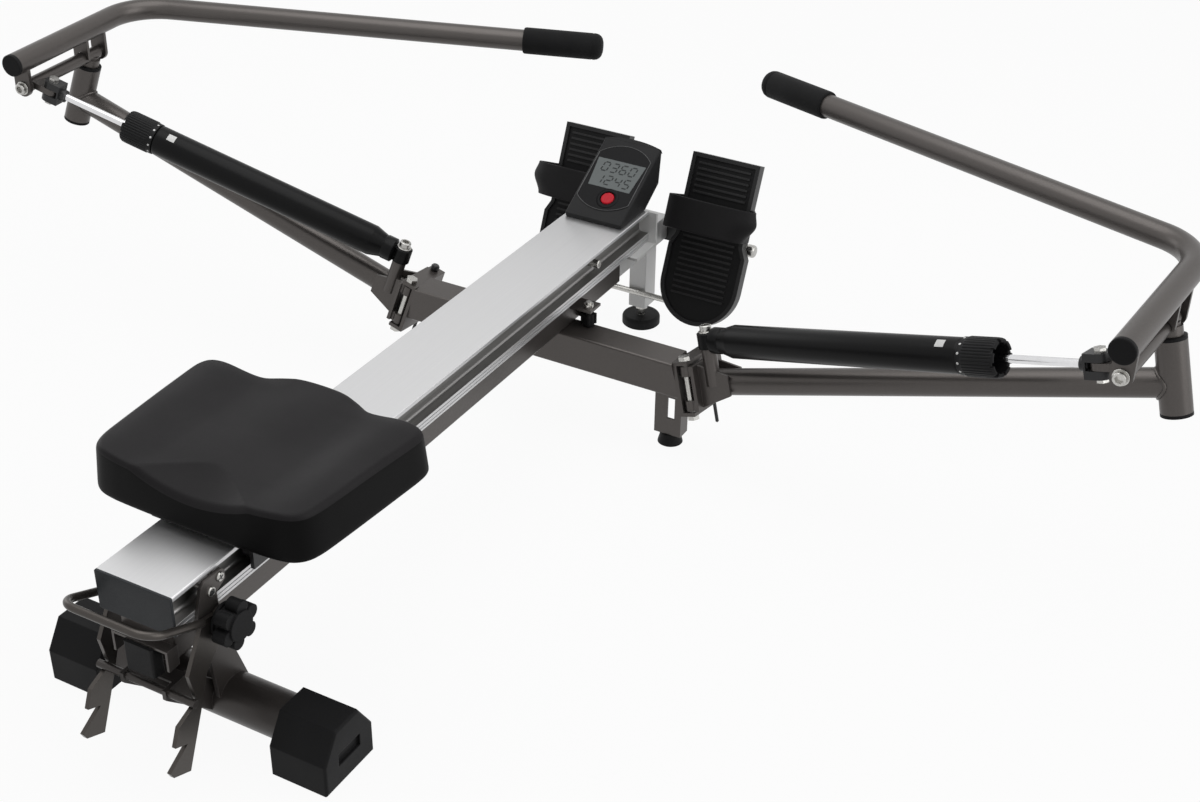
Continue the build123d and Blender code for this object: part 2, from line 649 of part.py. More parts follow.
def make_shell():
    """Wedge-shaped monitor case standing on the rail."""
    top = FACE.from_local_coords((0, FACE_LEN, 0))
    side = [(FACE_FOOT[0] + 2, RAIL_TOP), (RAIL_LEN - 2, RAIL_TOP), (SHELL_NOSE - 6, RAIL_TOP + 26),
            (SHELL_NOSE, top.Z - 8), (top.Y, top.Z), FACE_FOOT]
    shell = plate_x(side, (-SHELL_HALF, SHELL_HALF))
    upright = [e for e in shell.edges() if abs(e.center().X) > SHELL_HALF - 0.1]
    shell = fillet(upright, SHELL_ROUND)
    recess = FACE.location * Pos(0, 0, -BEZEL_T + 0.6) * extrude(bezel_outline(), amount=BEZEL_T)
    well = FACE.location * Pos(*BUTTON_AT, -BUTTON_H) * Cylinder(
        BUTTON_R + 1, BUTTON_H, align=(Align.CENTER, Align.CENTER, Align.MIN))
    stem = FACE.location * Pos(*BUTTON_AT, -BUTTON_H - 8) * Cylinder(
        BUTTON_STEM + RUN, 10, align=(Align.CENTER, Align.CENTER, Align.MIN))
    return shell - recess - well - stem


def make_bezel():
    """Dark panel let into the monitor's face, with the window and button holes."""
    bezel = Pos(0, 0, -BEZEL_T + 0.6) * extrude(bezel_outline(), amount=BEZEL_T)
    window = Pos(0, 0, 0.6 - SCREEN_T) * extrude(screen_outline(), amount=SCREEN_T)
    hole = Pos(*BUTTON_AT, 0) * Cylinder(BUTTON_R + 1, 4 * BEZEL_T)
    return FACE.location * (bezel - window - hole)


def make_screen():
    """Display pane lying in the bezel."""
    return FACE.location * Pos(0, 0, 0.6 - SCREEN_T) * extrude(screen_outline(), amount=SCREEN_T)


def make_button():
    """Round push button on a guided stem."""
    low = -BUTTON_H + BUTTON_TRAVEL + AIR
    cap = Cylinder(BUTTON_R, BUTTON_H, align=(Align.CENTER, Align.CENTER, Align.MIN))
    cap = fillet(cap.edges().sort_by(Axis.Z)[-1], 2.5)
    stem = Pos(0, 0, -6) * Cylinder(BUTTON_STEM, 7, align=(Align.CENTER, Align.CENTER, Align.MIN))
    return FACE.location * Pos(*BUTTON_AT, low) * (cap + stem)


def seat_section(y, top_half, low_half, crest, hollow, ridge):
    """Closed section of the seat: drawn-in sides, two crests, two hollows and a centre ridge."""
    shoulder = 12.0
    crest_in = top_half - 26.0
    ridge_half = 20.0
    at_hollow = (crest_in + ridge_half) / 2

    def point(x, z):
        return (x, y, z)

    low_right, low_left = point(low_half, SEAT_BOT), point(-low_half, SEAT_BOT)
    edge_right, edge_left = point(top_half, crest - shoulder), point(-top_half, crest - shoulder)
    crest_right, crest_left = point(crest_in, crest), point(-crest_in, crest)
    ridge_right, ridge_left = point(ridge_half, ridge), point(-ridge_half, ridge)
    corner = top_half - 6.0
    lines = [
        Line(low_left, low_right),
        Line(low_right, edge_right),
        ThreePointArc(edge_right, point(corner, crest - 2.2), crest_right),
        ThreePointArc(crest_right, point(at_hollow, hollow), ridge_right),
        ThreePointArc(ridge_right, point(0, ridge + 1.2), ridge_left),
        ThreePointArc(ridge_left, point(-at_hollow, hollow), crest_left),
        ThreePointArc(crest_left, point(-corner, crest - 2.2), edge_left),
        Line(edge_left, low_left),
    ]
    return make_face(Curve() + lines)


def make_seat():
    """Moulded saddle seat, lofted from rear to front through sections across it."""
    sections = []
    for share, narrow, crest, hollow, ridge in SEAT_STATIONS:
        half = SEAT_HALF - narrow
        section = seat_section(SEAT_REAR + share * SEAT_LEN, half, half - SEAT_DRAFT,
                               SEAT_CREST - crest, SEAT_HOLLOW - hollow, SEAT_RIDGE - ridge)
        sections.append(section)
    return loft(sections)


def make_carriage():
    """Steel tray under the seat with side plates and the four roller pins."""
    half = CARRIAGE_X
    tray_z = (RAIL_TOP + 3, SEAT_BOT)
    tray = block((-half, half), (CARRIAGE_Y[0] - 20, CARRIAGE_Y[1] + 20), tray_z)
    shape = tray
    low = GROOVE_BOT - 2
    pin_z = GROOVE_BOT + AIR + ROLLER_R
    for cheek in both_sides(block((half - CARRIAGE_T, half), CARRIAGE_Y, (low, tray_z[1]))):
        shape = shape + cheek
    for y in ROLLER_Y:
        pin = rod((ROLLER_IN - 1, y, pin_z), (half, y, pin_z), ROLLER_PIN_R)
        collar = rod((ROLLER_IN + ROLLER_W + AIR, y, pin_z), (half, y, pin_z), ROLLER_PIN_R + 3)
        for copy in both_sides(pin + collar):
            shape = shape + copy
    return shape


def make_roller(y):
    """Nylon roller that runs in the rail's groove, right-hand side."""
    pin_z = GROOVE_BOT + AIR + ROLLER_R
    roller = rod((ROLLER_IN, y, pin_z), (ROLLER_IN + ROLLER_W, y, pin_z), ROLLER_R)
    roller = fillet(roller.edges().filter_by(GeomType.CIRCLE), 2.5)
    return roller - rod((ROLLER_IN - 1, y, pin_z), (ROLLER_IN + ROLLER_W + 1, y, pin_z), ROLLER_PIN_R + RUN)


def make_rail_bracket():
    """Narrow side plate screwed to the rail's rear end, carrying the pivot bolt."""
    outline = [(36, 160), (46, 150), (68, 150), (76, 158), (76, 178), (63, 190), (62, 206), (77, 214),
               (77, 225), (73, 229), (46, 229), (40, 224), (31, 196), (30, 180)]
    plate = plate_x(outline, BRACKET_X)
    plate = plate - rod((0, PIVOT_Y, PIVOT_Z), (RAIL_W, PIVOT_Y, PIVOT_Z), PIVOT_R + RUN)
    for y, z in SCREW_YZ:
        plate = plate - rod((0, y, z), (RAIL_W, y, z), SCREW_R + RUN)
    return plate


def make_bumper():
    """Rubber buffer hung in the strap at the rear."""
    buffer = block((-19, 19), (-6, BEAM_REAR - WALL), (124, 161))
    return fillet(buffer.edges().filter_by(Axis.Z), 3)


def make_rear_foot():
    """Round foot tube with two fork plates up to the pivot and a latch bracket with its rod."""
    reach = CAP_X[0] + CAP_SOCKET
    tube = rod((-reach, FOOT_TUBE_Y, FOOT_TUBE_Z), (reach, FOOT_TUBE_Y, FOOT_TUBE_Z), FOOT_TUBE_R)
    inside = rod((-reach - 1, FOOT_TUBE_Y, FOOT_TUBE_Z), (reach + 1, FOOT_TUBE_Y, FOOT_TUBE_Z),
                 FOOT_TUBE_R - WALL)
    eye = RAIL_BOT - PIVOT_Z - AIR
    fork = plate_x([(PIVOT_Y - eye, PIVOT_Z), (FOOT_TUBE_Y - 24, FOOT_TUBE_Z + 14),
                    (FOOT_TUBE_Y + 24, FOOT_TUBE_Z + 14), (PIVOT_Y + eye, PIVOT_Z)], FORK_X)
    fork = fork + rod((FORK_X[0], PIVOT_Y, PIVOT_Z), (FORK_X[1], PIVOT_Y, PIVOT_Z), eye)
    rib = plate_x([(LATCH_Y - 6, LATCH_Z + 6), (LATCH_Y - 6, LATCH_Z - 6),
                   (FOOT_TUBE_Y - 26, FOOT_TUBE_Z - 6), (FOOT_TUBE_Y - 12, FOOT_TUBE_Z + 25),
                   (LATCH_Y + 30, LATCH_Z + 6)], LATCH_RIB_X)
    top = block((-LATCH_RIB_X[1], LATCH_RIB_X[1]), (LATCH_Y + 10, LATCH_Y + 28), (LATCH_Z + 3, LATCH_Z + 6))
    latch = rod((-RACK_X[1] - 4, LATCH_Y, LATCH_Z), (RACK_X[1] + 4, LATCH_Y, LATCH_Z), LATCH_R)
    shape = fuse(tube, *both_sides(fork), *both_sides(rib), top, latch)
    bolt = rod((-RAIL_W, PIVOT_Y, PIVOT_Z), (RAIL_W, PIVOT_Y, PIVOT_Z), PIVOT_R + RUN)
    return shape - inside - bolt


def make_foot_cap():
    """Chamfered plastic end cap of the foot tube, with a recess in its outer face."""
    outline = [(CAP_REAR, 0), (CAP_FRONT, 0), (CAP_FRONT, CAP_SHOULDER), (CAP_FRONT - CAP_CHAMFER, CAP_H),
               (CAP_REAR + CAP_CHAMFER, CAP_H), (CAP_REAR, CAP_SHOULDER)]
    cap = plate_x(outline, CAP_X)
    cap = fillet(cap.faces().sort_by(Axis.X)[-1].edges(), 3)
    middle = (CAP_REAR + CAP_FRONT) / 2
    recess = block((CAP_X[1] - 4, CAP_X[1] + 1), (middle - 19, middle + 19), (26, 42))
    socket = rod((CAP_X[0] - 1, FOOT_TUBE_Y, FOOT_TUBE_Z), (CAP_X[0] + CAP_SOCKET, FOOT_TUBE_Y, FOOT_TUBE_Z),
                 FOOT_TUBE_R + RUN)
    return cap - recess - socket


def make_star_knob():
    """Six-lobed clamping knob on the pivot bolt."""
    start = RACK_X[1] + 2 * AIR + DISC_T
    hub = rod((start, PIVOT_Y, PIVOT_Z), (start + STAR_T, PIVOT_Y, PIVOT_Z), STAR_R * 0.62)
    knob = hub
    for n in range(6):
        angle = math.radians(60 * n + 15)
        y = PIVOT_Y + STAR_R * 0.7 * math.cos(angle)
        z = PIVOT_Z + STAR_R * 0.7 * math.sin(angle)
        knob = knob + rod((start + 4, y, z), (start + STAR_T - 2, y, z), STAR_R * 0.3)
    return knob - rod((0, PIVOT_Y, PIVOT_Z), (start + STAR_T - 5, PIVOT_Y, PIVOT_Z), PIVOT_R + RUN)


def make_rack():
    """Two notched hook plates on the pivot, joined by a bent bail."""
    outline = [(PIVOT_Y - 8, PIVOT_Z + 13), (30, 193), (22, 180), (-1, 141), (6.5, 103.5),
               (-24, 91), (-33, 70), (-15, 62.5), (-45, 44), (-41, 36), (-16, 25.5), (9.5, 86),
               (26, 128.5), (PIVOT_Y + 12, PIVOT_Z - 8)]
    hook = plate_x(outline, RACK_X)
    hook = hook + rod((RACK_X[0], PIVOT_Y, PIVOT_Z), (RACK_X[1], PIVOT_Y, PIVOT_Z), 15)
    middle = sum(RACK_X) / 2
    reach = DISC_R + 2 * BAIL_R
    slope = math.atan2(BAIL_Z - PIVOT_Z, BAIL_REAR - PIVOT_Y)
    start = (PIVOT_Y + reach * math.cos(slope), PIVOT_Z + reach * math.sin(slope))
    points = [(middle, *start), (middle, BAIL_REAR, BAIL_Z), (-middle, BAIL_REAR, BAIL_Z), (-middle, *start)]
    path = FilletPolyline(*points, radius=BAIL_CORNER)
    section = Plane(origin=path @ 0, z_dir=path % 0) * Circle(BAIL_R)
    shape = sweep(section, path=path)
    for copy in both_sides(hook):
        shape = shape + copy
    return shape - rod((-RAIL_W, PIVOT_Y, PIVOT_Z), (RAIL_W, PIVOT_Y, PIVOT_Z), PIVOT_R + RUN)


def make_outrigger():
    """Arm tube with its hinge plate, gussets, damper post and oar housing."""
    low, high = HOUSING_W
    tube = arm_rod((PLATE_U, ARM_V, 0), (ARM_LEN, ARM_V, 0), ARM_R)
    housing = arm_rod((ARM_LEN, ARM_V, low), (ARM_LEN, ARM_V, high), HOUSING_R)
    half = BRACKET_HALF - BRACKET_T - 2
    plate = arm_block((PLATE_U, PLATE_U + BRACKET_T), (BRACKET_V[0] + 1, BRACKET_V[1]), (-half, half))
    shape = fuse(tube, housing, plate)
    for w in ((-half, -half + KNUCKLE_H), (half - KNUCKLE_H, half)):
        shape = shape + arm_rod((0, 0, w[0]), (0, 0, w[1]), KNUCKLE_R)
        shape = shape + arm_block((0, PLATE_U + 1), (-5, 5), w)
    tongue = arm_block((PIN_U - PIN_R, PLATE_U + 1), (PIN_V - 9, PIN_V + 7), (-4, 4))
    slot = arm_block((PIN_U - 20, PIN_U + PIN_R + 1), (PIN_V - PIN_R - 1.2, PIN_V + PIN_R + 0.6), (-5, 5))
    shape = shape + (tongue - slot)
    gusset_end = 58.0
    outline = [(PLATE_U, -half), (PLATE_U, half), (gusset_end, ARM_R - 4), (gusset_end, -ARM_R + 4)]
    for v in (ARM_V - ARM_R - 3, ARM_V + ARM_R - 1):
        wire = Polyline(*[arm_point(u, v, w) for u, w in outline], close=True)
        shape = shape + extrude(make_face(wire), amount=4, dir=ARM.y_dir)
    post_top = EYE_ARM[2] - EYE_H / 2 - AIR
    post = arm_rod((EYE_ARM[0], EYE_ARM[1], 0), (EYE_ARM[0], EYE_ARM[1], post_top), 10)
    shape = shape + post
    hollow = arm_rod((PLATE_U + BRACKET_T + 40, ARM_V, 0), (ARM_LEN - HOUSING_R, ARM_V, 0), ARM_R - WALL)
    shape = shape - hollow
    shape = shape - arm_rod((ARM_LEN, ARM_V, low - 1), (ARM_LEN, ARM_V, high + 1), SHAFT_R + RUN)
    shape = shape - arm_rod((0, 0, -half - 1), (0, 0, half + 1), HINGE_R + RUN)
    return shape - arm_rod((EYE_ARM[0], EYE_ARM[1], post_top - 25), (EYE_ARM[0], EYE_ARM[1], post_top + 1),
                           BASE_BOLT_R + RUN)


def make_housing_caps():
    """Plastic ring above the oar housing and plug below it."""
    low, high = HOUSING_W
    ring = arm_rod((ARM_LEN, ARM_V, high), (ARM_LEN, ARM_V, high + RING_H), HOUSING_R)
    ring = ring - arm_rod((ARM_LEN, ARM_V, high - 1), (ARM_LEN, ARM_V, high + RING_H + 1), SHAFT_R + AIR)
    plug = arm_rod((ARM_LEN, ARM_V, low - RING_H), (ARM_LEN, ARM_V, low), HOUSING_R)
    return [ring, plug]


def make_base_bolt():
    """Bolt with a nut that the damper's base eye turns on."""
    u, v, w = EYE_ARM
    seat = w + EYE_H / 2 + AIR
    bolt = arm_rod((u, v, w - EYE_H / 2 - 24), (u, v, seat + 5), BASE_BOLT_R)
    return bolt + hex_head(Plane(origin=arm_point(u, v, seat), x_dir=ARM_E1, z_dir=ARM_E3), 9, 6)


def make_yoke():
    """Oar yoke: a shaft in the housing, a bar along the lift axis and the crank tab."""
    low, high = HOUSING_W
    shaft = arm_rod((ARM_LEN, ARM_V, low + 5), (ARM_LEN, ARM_V, LIFT_W), SHAFT_R)
    collar = arm_rod((ARM_LEN, ARM_V, high + RING_H + AIR), (ARM_LEN, ARM_V, LIFT_W - 4), SHAFT_R + 3)
    bar = rod(LIFT.from_local_coords((-14, 0, 0)), LIFT.from_local_coords((BAR_END, 0, 0)), BAR_R)
    crank = ARM.to_local_coords(CRANK)
    near = ARM.to_local_coords(LIFT.from_local_coords((BAR_END - 36, 0, 0)))
    far = ARM.to_local_coords(LIFT.from_local_coords((BAR_END - 2, 0, 0)))
    w = (CRANK_ARM[2] - TAB_T / 2, CRANK_ARM[2] + TAB_T / 2)
    eye = 12.0
    outline = [(near.X, near.Y), (far.X, far.Y), (crank.X, crank.Y - eye), (crank.X, crank.Y + eye)]
    wire = Polyline(*[arm_point(u, v, w[0]) for u, v in outline], close=True)
    tab = extrude(make_face(wire), amount=TAB_T, dir=ARM_E3)
    tab = tab + arm_rod((crank.X, crank.Y, w[0]), (crank.X, crank.Y, w[1]), eye)
    shape = fuse(shaft, collar, bar, tab)
    lift_from = LIFT.from_local_coords((-20, 0, 0))
    lift_to = LIFT.from_local_coords((BAR_END + 1, 0, 0))
    shape = shape - rod(lift_from, lift_to, LIFT_R + RUN)
    return shape - arm_rod((crank.X, crank.Y, w[0] - 1), (crank.X, crank.Y, w[1] + 1), ROD_BOLT_R + RUN)


def make_lift_bolt():
    """Bolt through the yoke's bar that the oar lifts on."""
    tail = -SADDLE_AT - 2 - SADDLE_T
    nose = EAR_AT + EAR_T
    bolt = rod(LIFT.from_local_coords((tail - 7, 0, 0)), LIFT.from_local_coords((nose + 3, 0, 0)), LIFT_R)
    head = rod(LIFT.from_local_coords((nose + AIR, 0, 0)), LIFT.from_local_coords((nose + 5, 0, 0)), 8.5)
    nut_plane = Plane(origin=LIFT.from_local_coords((tail - AIR, 0, 0)), x_dir=LIFT_UP, z_dir=-LEVER)
    return fuse(bolt, head, hex_head(nut_plane, 9, 6))


def oar_lug(start, thick, hole):
    """Plate under the oar tube, across the lever, with or without a bolt hole."""
    half = EAR_HALF
    drop = LIFT.location * Pos(start + thick / 2, 0, OAR_RISE / 2) * Box(thick, 2 * half, OAR_RISE)
    axis_from = LIFT.from_local_coords((start - 1, 0, 0))
    axis_to = LIFT.from_local_coords((start + thick + 1, 0, 0))
    if not hole:
        return drop - rod(axis_from, axis_to, BAR_R + 2 * AIR)
    eye_from = LIFT.from_local_coords((start, 0, 0))
    eye_to = LIFT.from_local_coords((start + thick, 0, 0))
    lug = drop + rod(eye_from, eye_to, half)
    return lug - rod(axis_from, axis_to, LIFT_R + RUN)


OAR_TAIL_POINT = LIFT.from_local_coords((OAR_TAIL, 0, OAR_RISE))
OAR_CORNER = LIFT_HEAD + OAR_TO_BEND
GRIP_END = LIFT_HEAD + OAR_TO_GRIP
HANDLE_DIR = (GRIP_END - OAR_CORNER).normalized()
TUBE_END = GRIP_END - HANDLE_DIR * 5


def oar_bar(radius, tail, end):
    """Round bar along the oar's bent line."""
    path = FilletPolyline(tail, OAR_CORNER, end, radius=BEND_R)
    return sweep(Plane(origin=path @ 0, z_dir=path % 0) * Circle(radius), path=path)


def make_oar():
    """Bent oar tube with an ear at its tail and two saddle plates near the bend."""
    lever_dir = (OAR_CORNER - OAR_TAIL_POINT).normalized()
    bore = oar_bar(OAR_R - OAR_WALL, OAR_TAIL_POINT - lever_dir * 5, TUBE_END + HANDLE_DIR * 5)
    shape = oar_bar(OAR_R, OAR_TAIL_POINT, TUBE_END)
    lugs = [oar_lug(EAR_AT, EAR_T, True), oar_lug(-SADDLE_AT - 2 - SADDLE_T, SADDLE_T, True),
            oar_lug(SADDLE_AT, SADDLE_T, False)]
    for lug in lugs:
        shape = shape + lug
    return shape - bore


def make_oar_plug():
    """Plastic plug in the oar's tail end."""
    lever_dir = (OAR_CORNER - OAR_TAIL_POINT).normalized()
    plug = rod(OAR_TAIL_POINT - lever_dir * PLUG_H, OAR_TAIL_POINT, OAR_R)
    plug = fillet(plug.edges().filter_by(GeomType.CIRCLE).sort_by(Axis.Y)[0], 2)
    return plug + rod(OAR_TAIL_POINT, OAR_TAIL_POINT + lever_dir * 14, OAR_R - OAR_WALL - RUN)


def make_grip():
    """Foam grip with a domed end, pushed over the handle."""
    start = GRIP_END - HANDLE_DIR * GRIP_LEN
    grip = rod(start, GRIP_END, GRIP_R)
    ends = grip.edges().filter_by(GeomType.CIRCLE).sort_by(Axis.X)
    grip = fillet(ends[0], 12)
    grip = fillet(grip.edges().filter_by(GeomType.CIRCLE).sort_by(Axis.X)[-1], 2)
    return grip - rod(start - HANDLE_DIR, TUBE_END, OAR_R + RUN)


def make_barrel():
    """Damper barrel turned in one profile, with its tapered neck and base eye."""
    neck = EYE_R - 2
    outline = [(0, 0), (0, neck), (BARREL_START - NECK_TAPER, neck), (BARREL_START, BARREL_R),
               (BARREL_END, BARREL_R), (BARREL_END, NOSE_R), (NOSE_END, NOSE_R), (NOSE_END, MOUTH_R),
               (NOSE_END - NOSE_WALL, MOUTH_R), (NOSE_END - NOSE_WALL, BARREL_BORE),
               (BARREL_START + 18, BARREL_BORE), (BARREL_START + 18, 0)]
    profile = make_face(Polyline(*outline, close=True))
    turned = revolve(profile, axis=Axis.X)
    eye = Rot(0, 0, 90) * Cylinder(EYE_R, EYE_H)
    bolt = Cylinder(BASE_BOLT_R + RUN, 2 * EYE_H)
    return DAMPER.location * (turned + eye - bolt)


def make_dial():
    """Resistance dial: a sleeve over the barrel's nose with a lip round the rod."""
    sleeve = damper_rod_shape(BARREL_END + AIR, NOSE_END + DIAL_LIP, DIAL_R)
    rims = sleeve.edges().filter_by(GeomType.CIRCLE)
    sleeve = fillet(rims, 2)
    inside = damper_rod_shape(BARREL_END - 1, NOSE_END + AIR, NOSE_R + RUN)
    return sleeve - inside - damper_rod_shape(NOSE_END, NOSE_END + DIAL_LIP + 1, MOUTH_R + 1)


def make_damper_rod():
    """Chromed rod with the piston on its inner end."""
    shape = damper_rod_shape(ROD_IN, DAMPER_LEN - FORK_BACK, ROD_R)
    return shape + damper_rod_shape(ROD_IN - 6, ROD_IN + 6, PISTON_R)


def make_rod_end():
    """Forked rod end with its pivot bolt."""
    stem = damper_rod_shape(DAMPER_LEN - FORK_BACK, DAMPER_LEN - FORK_HALF, FORK_HALF - 3)
    fork = block((DAMPER_LEN - FORK_HALF - 4, DAMPER_LEN), (-FORK_HALF, FORK_HALF), (-FORK_H, FORK_H))
    fork = fork + Pos(DAMPER_LEN, 0, 0) * Cylinder(FORK_HALF, 2 * FORK_H)
    slot_half = TAB_T / 2 + 2 * AIR
    slot = block((DAMPER_LEN - FORK_HALF - 1.5, DAMPER_LEN + FORK_HALF + 1), (-FORK_HALF - 1, FORK_HALF + 1),
                 (-slot_half, slot_half))
    fork = fork - slot
    bolt = Pos(DAMPER_LEN, 0, 0) * Cylinder(ROD_BOLT_R, 2 * FORK_H + 2)
    head = Pos(DAMPER_LEN, 0, FORK_H) * extrude(RegularPolygon(7.5, 6), amount=5)
    nut = Pos(DAMPER_LEN, 0, -FORK_H - 5) * extrude(RegularPolygon(7.5, 6), amount=5)
    return fuse(stem, DAMPER.location * fuse(fork, bolt, head, nut))


# Frame
keep("rail", make_rail())
keep("rail_end_cap", make_end_cap())
keep("main_beam", make_beam())
keep("crossbeam", make_crossbeam())
keep("crossbeam_legs", *both_sides(make_cross_leg()))
keep("crossbeam_feet", *both_sides(make_cross_pad()))
keep("lock_pins", *both_sides(make_lock_pin()))
keep("hinge_bolts", *both_sides(make_hinge_bolt()))
keep("frame_bolts", *make_frame_bolts())
keep("wing_knob", make_wing_knob())
keep("front_leg", make_front_leg())
keep("front_foot", make_front_foot())
keep("rail_brackets", *both_sides(make_rail_bracket()))
keep("bumper", make_bumper())
keep("pivot_discs", *both_sides(make_pivot_disc()))

# Pedals
keep("pedal_carrier", make_carrier())
keep("pedal_axle", make_axle())
heel_bar_x = HEEL_BAR_X
keep("heel_bar", rod((-heel_bar_x, HEEL_BAR_Y, HEEL_BAR_Z), (heel_bar_x, HEEL_BAR_Y, HEEL_BAR_Z), HEEL_BAR_R))

# Monitor
keep("monitor_shell", make_shell())
keep("monitor_bezel", make_bezel())
keep("monitor_screen", make_screen())
keep("mode_button", make_button())

# Rear foot
keep("rear_foot", make_rear_foot())
keep("foot_caps", *both_sides(make_foot_cap()))
keep("star_knob", make_star_knob())
keep("tilt_rack", make_rack())

# Seat
keep("seat_pad", make_seat())
keep("seat_carriage", make_carriage())
for end, roller_y in zip(("rear", "front"), ROLLER_Y):
    right, left = both_sides(make_roller(roller_y))
    keep(f"roller_{end}_right", right)
    keep(f"roller_{end}_left", left)

# Pieces that come in a right-hand and a left-hand copy
handed = {
    "footplate": [make_footplate()],
    "foot_strap": [make_strap()],
    "outrigger": [make_outrigger()],
    "housing_caps": make_housing_caps(),
    "damper_base_bolt": [make_base_bolt()],
    "swing_yoke": [make_yoke()],
    "lift_bolt": [make_lift_bolt()],
    "oar_tube": [make_oar()],
    "oar_plug": [make_oar_plug()],
    "grip": [make_grip()],
    "damper_barrel": [make_barrel()],
    "resistance_dial": [make_dial()],
    "damper_rod": [make_damper_rod()],
    "rod_end": [make_rod_end()],
}
for name, shapes in handed.items():
    keep(f"{name}_right", *shapes)
    keep(f"{name}_left", *[mirror(shape, about=Plane.YZ) for shape in shapes])

# The origin lies on the floor under the middle of the whole machine's box
boxes = [solid.bounding_box() for solids in parts.values() for solid in solids]
MID_Y = (min(box.min.Y for box in boxes) + max(box.max.Y for box in boxes)) / 2

os.makedirs("parts", exist_ok=True)
for name, solids in parts.items():
    moved = [Pos(0, -MID_Y, 0) * solid for solid in solids]
    node = moved[0] if len(moved) == 1 else Compound(children=moved)
    export_step(node, f"parts/{name}.step")
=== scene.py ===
import bpy
import bmesh
import json
import math
from mathutils import Matrix, Vector


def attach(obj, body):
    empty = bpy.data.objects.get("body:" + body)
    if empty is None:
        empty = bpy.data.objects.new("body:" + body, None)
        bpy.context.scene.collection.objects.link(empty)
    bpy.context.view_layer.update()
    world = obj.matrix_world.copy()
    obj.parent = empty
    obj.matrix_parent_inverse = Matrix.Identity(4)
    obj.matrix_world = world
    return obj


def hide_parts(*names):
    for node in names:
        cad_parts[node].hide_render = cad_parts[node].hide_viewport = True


# Hydraulic rowing machine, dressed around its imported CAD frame. Metres: X to the right-hand oar,
# Y forward to the monitor, Z up. Left-hand pieces are mirror images of the right-hand ones.

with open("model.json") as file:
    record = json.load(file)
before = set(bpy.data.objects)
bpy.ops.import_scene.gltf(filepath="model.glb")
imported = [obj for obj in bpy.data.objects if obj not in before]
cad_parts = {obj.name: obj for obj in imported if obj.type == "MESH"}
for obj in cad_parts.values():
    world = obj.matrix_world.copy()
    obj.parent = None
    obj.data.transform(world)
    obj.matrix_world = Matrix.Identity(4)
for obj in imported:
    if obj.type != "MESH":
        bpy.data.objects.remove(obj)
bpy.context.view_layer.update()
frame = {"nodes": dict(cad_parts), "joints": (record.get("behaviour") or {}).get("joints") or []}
nodes = frame["nodes"]
joints = {joint["name"]: joint for joint in frame["joints"]}

# Studio: the camera stands where the photograph was taken from, behind and to the right of the seat.
# A pale floor and a white surround light the machine softly from above and from both sides.
CAMERA_AT = Vector((1.0695, -1.5981, 1.3288))
CAMERA_YAW = 0.494
CAMERA_PITCH = 0.557
CAMERA_ROLL = 0.019
PHOTO_WIDTH = 1200
FOCAL_PIXELS = 1754.6
SENSOR = 36.0
FLOOR_SIZE = 60.0
FLOOR_COLOUR = (0.60, 0.60, 0.60, 1)
FLOOR_GLOW = 0.94
FLOOR_ROUGHNESS = 0.9
SURROUND = 0.36
# Name, place, aim, size and watts of each lamp
LAMPS = (("top_softbox", (-0.2, 0.1, 2.6), (0, 0, 0.2), 2.4, 34),
         ("right_softbox", (3.4, 0.5, 1.8), (0, 0.1, 0.2), 3.2, 55),
         ("left_softbox", (-3.0, 0.6, 1.2), (0, 0, 0.2), 1.6, 10))


def put(tree, kind, inputs=(), **settings):
    """Adds a shader node: inputs are (socket, value) pairs, where a value may be another node's output."""
    made = tree.nodes.new(kind)
    for key, value in settings.items():
        setattr(made, key, value)
    for key, value in inputs:
        if isinstance(value, bpy.types.NodeSocket):
            tree.links.new(value, made.inputs[key])
        else:
            made.inputs[key].default_value = value
    return made


def seen_directly(tree):
    """One where a ray comes from the camera, a gloss or a glass, and nought for plain lighting."""
    rays = put(tree, "ShaderNodeLightPath").outputs
    first = put(tree, "ShaderNodeMath", [(0, rays["Is Camera Ray"]), (1, rays["Is Glossy Ray"])],
                operation="MAXIMUM")
    both = put(tree, "ShaderNodeMath", [(0, first.outputs[0]), (1, rays["Is Transmission Ray"])],
               operation="MAXIMUM")
    return both.outputs[0]


def look_along(yaw, pitch, roll):
    """Camera axes for a heading, a downward tilt and a roll."""
    forward = Vector((-math.sin(yaw) * math.cos(pitch), math.cos(yaw) * math.cos(pitch), -math.sin(pitch)))
    right = Vector((math.cos(yaw), math.sin(yaw), 0))
    up = right.cross(forward)
    turned_right = right * math.cos(roll) + up * math.sin(roll)
    turned_up = up * math.cos(roll) - right * math.sin(roll)
    return Matrix((turned_right, turned_up, -forward)).transposed()


def softbox(name, place, aim, size, power):
    """Square lamp facing a point."""
    lamp = bpy.data.lights.new(name, "AREA")
    lamp.size = size
    lamp.energy = power
    holder = bpy.data.objects.new(name, lamp)
    holder.location = place
    holder.rotation_euler = (Vector(aim) - Vector(place)).to_track_quat("-Z", "Y").to_euler()
    bpy.context.scene.collection.objects.link(holder)


lens = bpy.data.cameras.new("camera")
lens.sensor_width = SENSOR
lens.lens = FOCAL_PIXELS * SENSOR / PHOTO_WIDTH
camera = bpy.data.objects.new("camera", lens)
heading = look_along(CAMERA_YAW, CAMERA_PITCH, CAMERA_ROLL)
camera.matrix_world = Matrix.Translation(CAMERA_AT) @ heading.to_4x4()
bpy.context.scene.collection.objects.link(camera)
bpy.context.scene.camera = camera
bpy.context.scene.view_settings.view_transform = "Standard"

